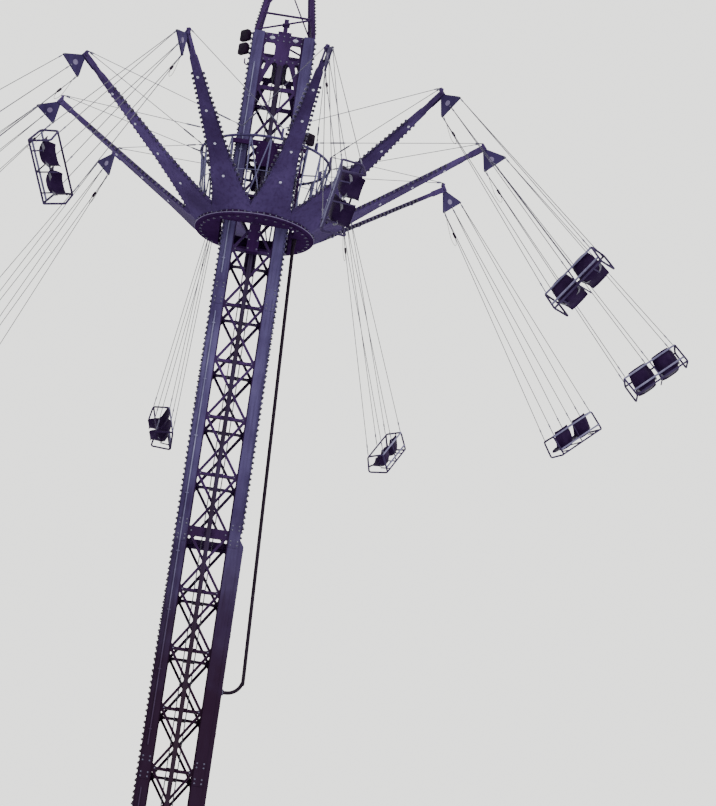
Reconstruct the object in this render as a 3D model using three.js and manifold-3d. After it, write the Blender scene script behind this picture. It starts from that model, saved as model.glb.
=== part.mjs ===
import * as THREE from 'three';
import { mergeVertices } from 'three/addons/utils/BufferGeometryUtils.js';
import Module from 'manifold-3d';

// Chair swing ride on a lattice tower. Millimetres, Z up, ground at Z = 0, tower axis on X = Y = 0.

const wasm = await Module();
wasm.setup();

// Clearance left between pieces that are bolted or welded together, and how far joined forms sink in.
const SEAT_GAP = 0.3;
const WELD = 5;

// Base flange and its ribs.
const FLANGE_SIDE = 2000;
const FLANGE_THICK = 80;
const RIB_HEIGHT = 420;
const RIB_THICK = 24;
const RIB_INSET = 60;
const RIB_TOE = 40;

// Tower columns and lattice.
const TOWER_SIDE = 1230;
const COLUMN_SIDE = 215;
const TOWER_TOP = 24600;
const LATTICE_FOOT = 400;
const LATTICE_TOP = 23400;
const BAY_COUNT = 20;
const LATTICE_THICK = 50;
const LATTICE_OUTER_Y = 560;
const EDGE_STRIP = 20;
const DIAGONAL_HALF = 24;
const HORIZONTAL_HALF = 26;
const SPLICE_HALF = 95;
const SPLICE_BAYS = [3, 12];

// Guide rails in the middle of the front and rear faces.
const RAIL_HALF = 45;
const RAIL_OUTER_Y = 620;
const RAIL_FOOT = 400;
const RAIL_TOP = 23900;

// Openings in a head frame, right of its centre line, as [x, z].
const HEAD_WINDOW = [[150, 24110], [175, 24070], [300, 24070], [350, 24110], [365, 24330], [340, 24400],
  [185, 24400], [150, 24350]];
const HEAD_CORNER = [[290, 23985], [370, 23985], [370, 23810], [330, 23800]];
const HEAD_ARCH = [[60, 23457], [345, 23457], [290, 23660], [215, 23850], [165, 23960], [120, 23985], [60, 23950]];

// Sheave block and the collared post on it.
const BLOCK_HALF = 135;
const BLOCK_FOOT = 24000;
const BLOCK_TOP = 24680;
const POST_SIDE = 90;
const POST_TOP = 24960;
const COLLAR_REACH = 30;
const COLLAR_RISE = 150;
const COLLAR_THICK = 40;

// Hoist ropes inside the tower.
const HOIST_X = 105;
const HOIST_RADIUS = 11;

// Mast.
const MAST_TOP = 28350;
const MAST_LEG = 62;
const MAST_TOP_HALF = 45;
const MAST_RINGS = [430, 1950];
const MAST_RING_BAR = 26;
const MAST_DIAGONAL = 20;
const MAST_CAP_HALF = 90;
const MAST_CAP_THICK = 60;
const SPIKE_LENGTH = 260;

// Trunking beside the front right column and the supply cable that leaves it.
const TRUNK_FOOT = 530;
const TRUNK_TOP = 14150;
const TRUNK_SLOPE = 140;
const TRUNK_DEPTH = 90;
const TRUNK_HALF = 100;
const TRUNK_Y = -507;
const GLAND_LENGTH = 30;
const GLAND_WALL = 14;
const CABLE_RADIUS = 36;
const CABLE_SIDES = 8;
const CABLE_STEPS = 40;
const CABLE_FIXED_Z = 11200;
const CABLE_LEAD = 30;
const CABLE_BEND = 300;
const CABLE_TAIL = 300;
const CABLE_TOP_X = 800;
const CABLE_TOP_Y = -152;

// Heights on the carriage and the rotor are counted from the lower rim.
const RIM_Z = 20490;
const DECK_RADIUS = 1045;
const DECK_HOLE_HALF = 700;
const DECK_THICK = 45;
const DECK_SIDES = 48;
const DECK_FLANGE_RADIUS = 1105;
const DECK_FLANGE_THICK = 26;
const NOTCH_X = 770;
const NOTCH_Y = [-640, -370];
const BEARING_GAP = 0.5;
const FRAME_POST = [676, 724];
const FRAME_FAR_X = [750, 798];
const FRAME_TOP = 1700;
const FRAME_DEPTH = 90;
const SHOE_Y = [-760, -590];
const SHOE_SLACK = 6;
const LOW_SHOE_HALF = 115;
const LOW_SHOE_Z = [-620, 30];
const HIGH_SHOE_HALF = 210;
const HIGH_SHOE_Z = [1180, 1700];

// Slewing ring and cage.
const RING_INNER = 1050;
const RING_OUTER = 1190;
const RING_HEIGHT = 280;
const RING_SIDES = 40;
const CAGE_FOOT_RADIUS = 1150;
const CAGE_TOP_RADIUS = 1300;
const CAGE_TOP_Z = 1600;
const CAGE_SIDES = 20;
const CAGE_TUBE = 40;
const CAGE_BRACE = 20;
const CAGE_POST = 24;
const POST_AZIMUTH = 9.25;
const BRACE_TOP_AZIMUTH = 9;
const BRACE_FOOT_AZIMUTH = 8;

// Arms: half widths against the distance from the root.
const ARM_COUNT = 10;
const FIRST_ARM_DEG = 11.1;
const TIP_RADIUS = 4290;
const TIP_Z = 2370;
const ARM_ROOT_Z = 125;
const ARM_THICK = 76;
const ARM_WIDTHS = [[-300, 425], [0, 425], [390, 325], [840, 245], [1400, 178], [2150, 138], [2460, 112],
  [3330, 72], [3390, 50]];
const NECK_BACK = 260;
const CHEEK_BACK = 40;
const CHEEK_PAST = 58;
const CHEEK_INNER = 20;
const CHEEK_OUTER = 38;
const PIN_RADIUS = 20;

// Stays and the lugs they lie on.
const STAY_RADIUS = 10;
const STAY_BACK = 15;
const STAY_TIP_RISE = 110;
const STAY_TIP_SEAT = 13;
const STAY_RING_RISE = 190;
const STAY_RING_SEAT = 8.8;
const STAY_STEP = 34;
const LUG_HALF = 25;
const LUG_FOOT = 58;

// Hangers: a triangular plate and six cables.
const SWING_DEG = 42;
const PLATE_HALF_THICK = 15;
const PLATE_EYE = 52;
const EYE_SIDES = 10;
const PLATE_BASE_Z = 430;
const PLATE_BASE_HALF = 265;
const PLATE_TOP = [34, 30];
const PLATE_SHOULDER = [46, -60];
const PLATE_EDGE = 30;
const CABLE_SPREAD_PLATE = 245;
const CABLE_INTO_PLATE = 25;
const CABLE_FROM_FRAME_END = 30;
const HANGER_CABLE = 8;
const CABLE_SEAT = 1.4;

// Chairs: V is forward, W is up, both from the upper back tube; flying chairs trail behind the arm tip.
const CHAIR_DROP = 5600;
const CHAIR_TRAIL = 120;
const CHAIR_HALF = 600;
const FRAME_TUBE = 20;
const BACK_V = -235;
const RAIL_V = -275;
const RAIL_W = -310;
const BUMPER_V = -290;
const FRONT_V = 130;
const FRONT_W = -60;
const BASE_W = -430;
const BASE_FRONT_V = 150;
const KEEL_FRONT_V = 150;
const SHELL_HALF = 232;
const SHELL_CENTRE = 275;
const SHELL_THICK = 24;
const SHELL_LAP = 6;
const SHELL_TOP = 60;
const SHELL_FOOT = -414;
const SHELL_HEEL = [55, 80];
const SHELL_LIP = [390, 372];
const SHELL_CHEEK = [170, -235];
const SHELL_WING = 80;

// Floodlights.
const LAMP_HALF = 110;
const LAMP_DEPTH = 120;
const LAMP_HEIGHT = 240;
const LAMP_BRACKET_HALF = 20;
const LAMP_HEAD_REACH = 150;
const LAMP_HEAD_Y = -500;
const LAMP_HEAD_Z = [24470, 24180];
const LAMP_HUB_REACH = 30;
const LAMP_HUB_DEG = 37.5;

const ride = new THREE.Group();
ride.name = 'chair_swing_ride';

const STEEL_DARK = 0x3a3150;
const STEEL_BLUE = 0x4a4d70;
const STEEL_PALE = 0x9a94b4;
const ROPE_GREY = 0x77767f;
const SHELL_RED = 0x3c2438;
const RUBBER = 0x1c1a20;

function addNode(name, geometry, colour, metalness, roughness) {
  const material = new THREE.MeshStandardMaterial({ color: colour, metalness, roughness });
  const mesh = new THREE.Mesh(geometry, material);
  mesh.name = name;
  ride.add(mesh);
}

function toSolid(geometry) {
  const bare = geometry.clone();
  bare.deleteAttribute('normal');
  bare.deleteAttribute('uv');
  const merged = mergeVertices(bare, 1e-3);
  const vertProperties = new Float32Array(merged.getAttribute('position').array);
  const triVerts = new Uint32Array(merged.getIndex().array);
  return new wasm.Manifold(new wasm.Mesh({ numProp: 3, vertProperties, triVerts }));
}

function toGeometry(solid) {
  const mesh = solid.getMesh();
  const geometry = new THREE.BufferGeometry();
  geometry.setAttribute('position', new THREE.BufferAttribute(new Float32Array(mesh.vertProperties), 3));
  geometry.setIndex(new THREE.BufferAttribute(new Uint32Array(mesh.triVerts), 1));
  geometry.computeVertexNormals();
  return geometry;
}

function unite(geometries) {
  let solid = toSolid(geometries[0]);
  for (const geometry of geometries.slice(1)) {
    solid = solid.add(toSolid(geometry));
  }
  return solid;
}

function vec(x, y, z) {
  return new THREE.Vector3(x, y, z);
}

// A box between two corners whose coordinates may come in either order.
function box(x0, x1, y0, y1, z0, z1) {
  const geometry = new THREE.BoxGeometry(Math.abs(x1 - x0), Math.abs(y1 - y0), Math.abs(z1 - z0));
  geometry.translate((x0 + x1) / 2, (y0 + y1) / 2, (z0 + z1) / 2);
  return geometry;
}

// A straight prism from one point to another; four sides give a square bar of the same radius.
function rod(from, to, radius, sides) {
  const axis = to.clone().sub(from);
  const geometry = new THREE.CylinderGeometry(radius, radius, axis.length(), sides);
  const turn = new THREE.Quaternion().setFromUnitVectors(vec(0, 1, 0), axis.normalize());
  geometry.applyQuaternion(turn);
  geometry.translate((from.x + to.x) / 2, (from.y + to.y) / 2, (from.z + to.z) / 2);
  return geometry;
}

// A tube round a closed path with mitred corners; normal is the direction the path lies square to.
function mitredLoop(points, radius, sides, normal) {
  const positions = [];
  points.forEach((point, i) => {
    const before = points.at(i - 1);
    const after = points[(i + 1) % points.length];
    const into = point.clone().sub(before).normalize();
    const out = after.clone().sub(point).normalize();
    const plane = into.clone().add(out).normalize();
    const side = into.clone().cross(normal).normalize();
    const up = into.clone().cross(side);
    for (let k = 0; k < sides; k += 1) {
      const angle = (2 * Math.PI * (k + 0.5)) / sides;
      const spoke = side.clone().multiplyScalar(Math.cos(angle) * radius);
      spoke.add(up.clone().multiplyScalar(Math.sin(angle) * radius));
      const along = -spoke.dot(plane) / into.dot(plane);
      const corner = point.clone().add(spoke).add(into.clone().multiplyScalar(along));
      positions.push(corner.x, corner.y, corner.z);
    }
  });
  const index = [];
  for (let i = 0; i < points.length; i += 1) {
    const a = i * sides;
    const b = ((i + 1) % points.length) * sides;
    for (let k = 0; k < sides; k += 1) {
      const n = (k + 1) % sides;
      index.push(a + k, a + n, b + k);
      index.push(a + n, b + n, b + k);
    }
  }
  const geometry = new THREE.BufferGeometry();
  geometry.setAttribute('position', new THREE.BufferAttribute(new Float32Array(positions), 3));
  geometry.setIndex(index);
  return geometry;
}

// A flat outline given as [x, z] pairs, thickened from y0 to y1.
function plateXZ(outline, y0, y1) {
  const shape = new THREE.Shape(outline.map(([x, z]) => new THREE.Vector2(x, z)));
  const geometry = new THREE.ExtrudeGeometry(shape, { depth: y1 - y0, bevelEnabled: false, steps: 1 });
  geometry.rotateX(Math.PI / 2);
  geometry.translate(0, y1, 0);
  return geometry;
}

// The same plate with openings cut through it.
function piercedPlate(outline, holes, y0, y1) {
  let solid = toSolid(plateXZ(outline, y0, y1));
  for (const hole of holes) {
    solid = solid.subtract(toSolid(plateXZ(hole, y0 - WELD, y1 + WELD)));
  }
  return toGeometry(solid);
}

function turned(geometry, degrees) {
  return geometry.clone().rotateZ(THREE.MathUtils.degToRad(degrees));
}

function armDegrees(index) {
  return FIRST_ARM_DEG + (index * 360) / ARM_COUNT - 90;
}

function polar(radius, degrees, z) {
  const angle = THREE.MathUtils.degToRad(degrees);
  return vec(radius * Math.cos(angle), radius * Math.sin(angle), z);
}

// Base flange with ribs against the outer faces of the columns.
function baseFlange() {
  const half = FLANGE_SIDE / 2;
  const parts = [box(-half, half, -half, half, 0, FLANGE_THICK)];
  const face = TOWER_SIDE / 2 + SEAT_GAP;
  const foot = FLANGE_THICK - WELD;
  const reach = half - RIB_INSET;
  const top = FLANGE_THICK + RIB_HEIGHT;
  const outline = [[face, foot], [reach, foot], [reach, FLANGE_THICK + RIB_TOE], [face + RIB_TOE, top], [face, top]];
  const rib = plateXZ(outline, -RIB_THICK / 2, RIB_THICK / 2);
  const offset = TOWER_SIDE / 2 - COLUMN_SIDE / 2;
  for (let quarter = 0; quarter < 4; quarter += 1) {
    for (const shift of [-offset, offset]) {
      parts.push(turned(rib.clone().translate(0, shift, 0), quarter * 90));
    }
  }
  return toGeometry(unite(parts));
}

// Four square box columns.
function column(signX, signY) {
  const outer = TOWER_SIDE / 2;
  const inner = outer - COLUMN_SIDE;
  return box(signX * inner, signX * outer, signY * inner, signY * outer, FLANGE_THICK + SEAT_GAP, TOWER_TOP);
}

// One side of the lattice: crossed diagonals and a horizontal in each bay, between two edge strips.
function latticeFace() {
  const half = TOWER_SIDE / 2 - COLUMN_SIDE - SEAT_GAP;
  const inner = half - EDGE_STRIP;
  const pitch = (LATTICE_TOP - LATTICE_FOOT) / BAY_COUNT;
  const holes = [];
  for (let bay = 0; bay < BAY_COUNT; bay += 1) {
    const low = LATTICE_FOOT + bay * pitch;
    const high = low + pitch;
    const middle = (low + high) / 2;
    const lowHalf = SPLICE_BAYS.includes(bay) ? SPLICE_HALF : HORIZONTAL_HALF;
    const highHalf = SPLICE_BAYS.includes(bay + 1) ? SPLICE_HALF : HORIZONTAL_HALF;
    const slope = pitch / (2 * inner);
    const shift = DIAGONAL_HALF * Math.sqrt(1 + slope * slope);
    const topZ = high - highHalf;
    const bottomZ = low + lowHalf;
    const topX = (topZ - middle - shift) / slope;
    const bottomX = (middle - shift - bottomZ) / slope;
    holes.push([[0, middle + shift], [topX, topZ], [-topX, topZ]]);
    holes.push([[0, middle - shift], [-bottomX, bottomZ], [bottomX, bottomZ]]);
    const sideUp = Math.min(middle + slope * inner - shift, topZ);
    const sideDown = Math.max(middle - slope * inner + shift, bottomZ);
    const nearUp = (sideUp - middle + shift) / slope;
    const nearDown = (middle - sideDown + shift) / slope;
    for (const sign of [-1, 1]) {
      const outline = [[sign * (shift / slope), middle]];
      if (nearDown < inner - 1) outline.push([sign * nearDown, sideDown]);
      outline.push([sign * inner, sideDown], [sign * inner, sideUp]);
      if (nearUp < inner - 1) outline.push([sign * nearUp, sideUp]);
      holes.push(outline);
    }
  }
  const outline = [[-half, LATTICE_FOOT - HORIZONTAL_HALF], [half, LATTICE_FOOT - HORIZONTAL_HALF],
    [half, LATTICE_TOP + HORIZONTAL_HALF], [-half, LATTICE_TOP + HORIZONTAL_HALF]];
  return piercedPlate(outline, holes, -LATTICE_OUTER_Y, -LATTICE_OUTER_Y + LATTICE_THICK);
}

// Head frame: top beam, second beam, centre panel and two bowed struts down to the columns.
function headFrame() {
  const half = TOWER_SIDE / 2 - COLUMN_SIDE - SEAT_GAP;
  const foot = LATTICE_TOP + HORIZONTAL_HALF + SEAT_GAP;
  const right = [HEAD_WINDOW, HEAD_CORNER, HEAD_ARCH];
  const left = right.map((hole) => hole.map(([x, z]) => [-x, z]));
  const outline = [[-half, foot], [half, foot], [half, TOWER_TOP], [-half, TOWER_TOP]];
  return piercedPlate(outline, [...right, ...left], -LATTICE_OUTER_Y, -LATTICE_OUTER_Y + LATTICE_THICK);
}

// Sheave block between the head frames, with the post that stands on it.
function sheaveBlock() {
  const depth = LATTICE_OUTER_Y - LATTICE_THICK - SEAT_GAP;
  const post = POST_SIDE / 2;
  const collar = BLOCK_TOP + COLLAR_RISE;
  const parts = [
    box(-BLOCK_HALF, BLOCK_HALF, -depth, depth, BLOCK_FOOT, BLOCK_TOP),
    box(-post, post, -depth, -depth + POST_SIDE, BLOCK_TOP - WELD, POST_TOP),
    box(-post - COLLAR_REACH, post + COLLAR_REACH, -depth, -depth + POST_SIDE + COLLAR_REACH,
      collar, collar + COLLAR_THICK),
  ];
  return toGeometry(unite(parts));
}

// Hoist rope: straight from the flange up to the sheave block.
function hoistRope(sign) {
  const foot = vec(sign * HOIST_X, 0, FLANGE_THICK + SEAT_GAP);
  return rod(foot, vec(sign * HOIST_X, 0, BLOCK_FOOT - SEAT_GAP), HOIST_RADIUS, 6);
}

// Pyramid mast: four legs, two rings and one diagonal in each panel.
function mast() {
  const footHalf = TOWER_SIDE / 2 - MAST_LEG / 2;
  const foot = TOWER_TOP + SEAT_GAP;
  const height = MAST_TOP - foot;
  const halfAt = (rise) => footHalf + ((MAST_TOP_HALF - footHalf) * rise) / height;
  const corner = (sx, sy, rise) => vec(sx * halfAt(rise), sy * halfAt(rise), foot + rise);
  const signs = [[1, 1], [-1, 1], [-1, -1], [1, -1]];
  const parts = [];
  for (const [sx, sy] of signs) {
    parts.push(rod(corner(sx, sy, -MAST_LEG), corner(sx, sy, height), MAST_LEG / Math.SQRT2, 4));
  }
  const levels = [0, ...MAST_RINGS, height - MAST_RINGS[0]];
  for (let panel = 0; panel < MAST_RINGS.length + 1; panel += 1) {
    for (let k = 0; k < 4; k += 1) {
      const [ax, ay] = signs[k];
      const [bx, by] = signs[(k + 1) % 4];
      const from = corner(ax, ay, levels[panel]);
      if (panel > 0) parts.push(rod(from, corner(bx, by, levels[panel]), MAST_RING_BAR, 4));
      parts.push(rod(corner(ax, ay, levels[panel] + 3 * WELD), corner(bx, by, levels[panel + 1]), MAST_DIAGONAL, 4));
    }
  }
  parts.push(box(-MAST_CAP_HALF, MAST_CAP_HALF, -MAST_CAP_HALF, MAST_CAP_HALF, MAST_TOP - MAST_CAP_THICK, MAST_TOP));
  parts.push(rod(vec(0, 0, MAST_TOP - MAST_CAP_THICK / 2), vec(0, 0, MAST_TOP + SPIKE_LENGTH), MAST_RING_BAR, 10));
  const reach = TOWER_SIDE;
  const keep = toSolid(box(-reach, reach, -reach, reach, foot, MAST_TOP + 2 * SPIKE_LENGTH));
  return toGeometry(unite(parts).intersect(keep));
}

// Trunking on the side of the front right column, with a sloping top and a cable gland.
function trunking() {
  const face = TOWER_SIDE / 2 + SEAT_GAP;
  const front = face + TRUNK_DEPTH;
  const outline = [[face, TRUNK_FOOT], [front, TRUNK_FOOT], [front, TRUNK_TOP - TRUNK_SLOPE], [face, TRUNK_TOP]];
  const gland = rod(vec(front - 2 * WELD, TRUNK_Y, CABLE_FIXED_Z), vec(front + GLAND_LENGTH, TRUNK_Y, CABLE_FIXED_Z),
    CABLE_RADIUS + GLAND_WALL, 12);
  return toGeometry(unite([plateXZ(outline, TRUNK_Y - TRUNK_HALF, TRUNK_Y + TRUNK_HALF), gland]));
}

// Supply cable: a quarter bend out of the gland, then up to the underside of the deck.
function supplyCable() {
  const startX = TOWER_SIDE / 2 + SEAT_GAP + TRUNK_DEPTH + GLAND_LENGTH + SEAT_GAP;
  const points = [vec(startX, TRUNK_Y, CABLE_FIXED_Z)];
  for (const degrees of [0, 15, 30, 45, 60, 75, 90]) {
    const angle = THREE.MathUtils.degToRad(degrees);
    const out = CABLE_LEAD + CABLE_BEND * Math.sin(angle);
    const up = CABLE_BEND * (1 - Math.cos(angle));
    points.push(vec(startX + out, TRUNK_Y, CABLE_FIXED_Z + up));
  }
  const bendTop = points.at(-1);
  const end = vec(CABLE_TOP_X, CABLE_TOP_Y, RIM_Z - BEARING_GAP - DECK_FLANGE_THICK - SEAT_GAP);
  const tail = vec(end.x, end.y, end.z - CABLE_TAIL);
  for (const part of [0.12, 0.35, 0.65, 1]) {
    points.push(bendTop.clone().lerp(tail, part));
  }
  points.push(end);
  const curve = new THREE.CatmullRomCurve3(points, false, 'centripetal');
  const circle = new THREE.Shape();
  for (let k = 0; k < CABLE_SIDES; k += 1) {
    const angle = (2 * Math.PI * k) / CABLE_SIDES;
    const x = CABLE_RADIUS * Math.cos(angle);
    const y = CABLE_RADIUS * Math.sin(angle);
    if (k === 0) circle.moveTo(x, y);
    else circle.lineTo(x, y);
  }
  circle.closePath();
  return new THREE.ExtrudeGeometry(circle, { steps: CABLE_STEPS, extrudePath: curve, bevelEnabled: false });
}

// Lifting carriage: deck with a square hole, four posts, an upper frame and four shoes on the guide rails.
function carriage() {
  const low = RIM_Z - BEARING_GAP - DECK_FLANGE_THICK;
  const disc = new THREE.LatheGeometry([
    new THREE.Vector2(0, low),
    new THREE.Vector2(DECK_FLANGE_RADIUS, low),
    new THREE.Vector2(DECK_FLANGE_RADIUS, low + DECK_FLANGE_THICK),
    new THREE.Vector2(DECK_RADIUS, low + DECK_FLANGE_THICK),
    new THREE.Vector2(DECK_RADIUS, RIM_Z + DECK_THICK),
    new THREE.Vector2(0, RIM_Z + DECK_THICK),
  ], DECK_SIDES);
  disc.rotateX(Math.PI / 2);
  const hole = DECK_HOLE_HALF;
  const under = low - WELD;
  const over = RIM_Z + DECK_THICK + WELD;
  let solid = toSolid(disc);
  solid = solid.subtract(toSolid(box(-hole, hole, -hole, hole, under, over)));
  solid = solid.subtract(toSolid(box(hole - WELD, NOTCH_X, NOTCH_Y[0], NOTCH_Y[1], under, over)));
  const [inner, outer] = FRAME_POST;
  const top = RIM_Z + FRAME_TOP;
  for (const [sx, sy] of [[1, 1], [-1, 1], [-1, -1], [1, -1]]) {
    solid = solid.add(toSolid(box(sx * inner, sx * outer, sy * inner, sy * outer, RIM_Z + WELD, top)));
  }
  const frameOuter = toSolid(box(-outer, FRAME_FAR_X[1], -outer, outer, top - FRAME_DEPTH, top));
  const frameInner = toSolid(box(-inner, FRAME_FAR_X[0], -inner, inner, top - FRAME_DEPTH - WELD, top + WELD));
  solid = solid.add(frameOuter.subtract(frameInner));
  const slack = RAIL_HALF + SHOE_SLACK;
  const slotY = -RAIL_OUTER_Y - SHOE_SLACK;
  for (const [half, [z0, z1]] of [[LOW_SHOE_HALF, LOW_SHOE_Z], [HIGH_SHOE_HALF, HIGH_SHOE_Z]]) {
    const block = toSolid(box(-half, half, SHOE_Y[0], SHOE_Y[1], RIM_Z + z0, RIM_Z + z1));
    const slot = toSolid(box(-slack, slack, slotY, SHOE_Y[1] + WELD, RIM_Z + z0 - WELD, RIM_Z + z1 + WELD));
    const shoe = block.subtract(slot);
    solid = solid.add(shoe);
    solid = solid.add(shoe.rotate([0, 0, 180]));
  }
  return toGeometry(solid);
}

// Slewing ring that carries the arms.
function rotorRing() {
  const profile = [
    new THREE.Vector2(RING_INNER, 0),
    new THREE.Vector2(RING_OUTER, 0),
    new THREE.Vector2(RING_OUTER, RING_HEIGHT),
    new THREE.Vector2(RING_INNER, RING_HEIGHT),
    new THREE.Vector2(RING_INNER, 0),
  ];
  const geometry = new THREE.LatheGeometry(profile, RING_SIDES);
  geometry.rotateX(Math.PI / 2);
  geometry.translate(0, 0, RIM_Z);
  return turned(geometry, armDegrees(0));
}

// Cage on the slewing ring: in every panel between two arms a pair of posts and a cross, under one top ring.
function cage() {
  const footZ = RIM_Z + RING_HEIGHT + SEAT_GAP;
  const topZ = RIM_Z + CAGE_TOP_Z;
  const below = footZ - 2 * CAGE_TUBE;
  const ring = [];
  for (let k = 0; k < CAGE_SIDES; k += 1) {
    ring.push(polar(CAGE_TOP_RADIUS, armDegrees(0) + (k * 360) / CAGE_SIDES, topZ));
  }
  const parts = [mitredLoop(ring, CAGE_TUBE, 4, vec(0, 0, 1))];
  for (let i = 0; i < ARM_COUNT; i += 1) {
    const middle = armDegrees(i + 0.5);
    for (const sign of [-1, 1]) {
      const postFoot = polar(CAGE_FOOT_RADIUS, middle + sign * POST_AZIMUTH, below);
      const postTop = polar(CAGE_TOP_RADIUS, middle + sign * POST_AZIMUTH, topZ);
      parts.push(rod(postFoot, postTop, CAGE_POST, 4));
      const braceFoot = polar(CAGE_FOOT_RADIUS, middle - sign * BRACE_FOOT_AZIMUTH, below);
      const braceTop = polar(CAGE_TOP_RADIUS, middle + sign * BRACE_TOP_AZIMUTH, topZ);
      parts.push(rod(braceFoot, braceTop, CAGE_BRACE, 4));
    }
    const lift = i % 2 === 0 ? STAY_STEP : 0;
    const lug = box(CAGE_TOP_RADIUS - LUG_HALF, CAGE_TOP_RADIUS + LUG_HALF, -LUG_HALF, LUG_HALF,
      topZ, topZ + STAY_RING_RISE + lift - STAY_RING_SEAT);
    parts.push(turned(lug, armDegrees(i)));
  }
  const reach = 2 * CAGE_TOP_RADIUS;
  const keep = toSolid(box(-reach, reach, -reach, reach, footZ, topZ + 2 * STAY_RING_RISE));
  return toGeometry(unite(parts).intersect(keep));
}

// The arm lies along +X before it is turned to its place; lift raises the lug for its stays.
function armSolid(lift) {
  const rise = TIP_Z - ARM_ROOT_Z;
  const run = TIP_RADIUS - RING_OUTER;
  const length = Math.hypot(rise, run);
  const tilt = Math.atan2(rise, run);
  const neckEnd = length - NECK_BACK;
  const upper = [...ARM_WIDTHS, [neckEnd, ARM_WIDTHS.at(-1)[1]]];
  const lower = upper.map(([s, t]) => [s, -t]).reverse();
  const shape = new THREE.Shape([...upper, ...lower].map(([s, t]) => new THREE.Vector2(s, t)));
  const body = new THREE.ExtrudeGeometry(shape, { depth: ARM_THICK, bevelEnabled: false, steps: 1 });
  body.translate(0, 0, -ARM_THICK / 2);
  let solid = toSolid(body);
  for (const sign of [-1, 1]) {
    solid = solid.add(toSolid(box(neckEnd - CHEEK_BACK, length + CHEEK_PAST, sign * CHEEK_INNER, sign * CHEEK_OUTER,
      -CHEEK_PAST, CHEEK_PAST)));
  }
  const pinHalf = CHEEK_OUTER + PIN_RADIUS / 2;
  solid = solid.add(toSolid(rod(vec(length, -pinHalf, 0), vec(length, pinHalf, 0), PIN_RADIUS, 10)));
  const matrix = new THREE.Matrix4().makeRotationY(-tilt);
  matrix.setPosition(RING_OUTER, 0, RIM_Z + ARM_ROOT_Z);
  solid = solid.transform(matrix.elements);
  const lugX = TIP_RADIUS - STAY_BACK;
  const lugTop = RIM_Z + TIP_Z + STAY_TIP_RISE + lift - STAY_TIP_SEAT;
  const lug = box(lugX - LUG_HALF, lugX + LUG_HALF, -CHEEK_OUTER, CHEEK_OUTER, RIM_Z + TIP_Z + LUG_FOOT, lugTop);
  solid = solid.add(toSolid(lug));
  const drum = new THREE.CylinderGeometry(RING_OUTER + SEAT_GAP, RING_OUTER + SEAT_GAP, TIP_Z, RING_SIDES);
  drum.rotateX(Math.PI / 2);
  drum.translate(0, 0, RIM_Z);
  solid = solid.subtract(toSolid(drum));
  const reach = TIP_RADIUS + CHEEK_OUTER + 2 * LUG_HALF;
  const edge = Math.tan(Math.PI / ARM_COUNT) * reach;
  const wedge = new THREE.Shape([new THREE.Vector2(1, 0), new THREE.Vector2(reach, -edge),
    new THREE.Vector2(reach, edge)]);
  const sector = new THREE.ExtrudeGeometry(wedge, { depth: 2 * TIP_Z, bevelEnabled: false, steps: 1 });
  sector.translate(0, 0, RIM_Z);
  return solid.intersect(toSolid(sector));
}

// Each closed run of stays goes from an arm tip to a lug on the top ring and on to the tip after it.
function stays(first, lift) {
  const points = [];
  for (let i = 0; i < ARM_COUNT; i += 1) {
    const atTip = i % 2 === first;
    const radius = atTip ? TIP_RADIUS - STAY_BACK : CAGE_TOP_RADIUS;
    const height = atTip ? TIP_Z + STAY_TIP_RISE : CAGE_TOP_Z + STAY_RING_RISE;
    points.push(polar(radius, armDegrees(i), RIM_Z + height + lift));
  }
  return mitredLoop(points, STAY_RADIUS, 4, vec(0, 0, 1));
}

// Plate with its eye, and cables in pairs from the two base corners and the middle.
function hangerSolid() {
  const half = PLATE_BASE_HALF;
  const left = [[PLATE_TOP[0], PLATE_TOP[1]], [PLATE_EYE, 0], PLATE_SHOULDER, [half, PLATE_EDGE - PLATE_BASE_Z],
    [half, -PLATE_BASE_Z]];
  const right = left.map(([x, z]) => [-x, z]).reverse();
  const eye = [];
  const hole = (PIN_RADIUS + SEAT_GAP) / Math.cos(Math.PI / EYE_SIDES);
  for (let k = 0; k < EYE_SIDES; k += 1) {
    const angle = (2 * Math.PI * k) / EYE_SIDES;
    eye.push([hole * Math.cos(angle), hole * Math.sin(angle)]);
  }
  const parts = [piercedPlate([...left, ...right], [eye], -PLATE_HALF_THICK, PLATE_HALF_THICK)];
  const seat = FRAME_TUBE + CABLE_SEAT - CHAIR_DROP;
  for (const side of [-1, 0, 1]) {
    const from = vec(side * CABLE_SPREAD_PLATE, 0, CABLE_INTO_PLATE - PLATE_BASE_Z);
    const spread = side * (CHAIR_HALF - CABLE_FROM_FRAME_END);
    parts.push(rod(from, vec(spread, BACK_V - CHAIR_TRAIL, seat), HANGER_CABLE, 4));
    parts.push(rod(from, vec(spread, FRONT_V - CHAIR_TRAIL, seat + FRONT_W), HANGER_CABLE, 4));
  }
  return unite(parts);
}

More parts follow.
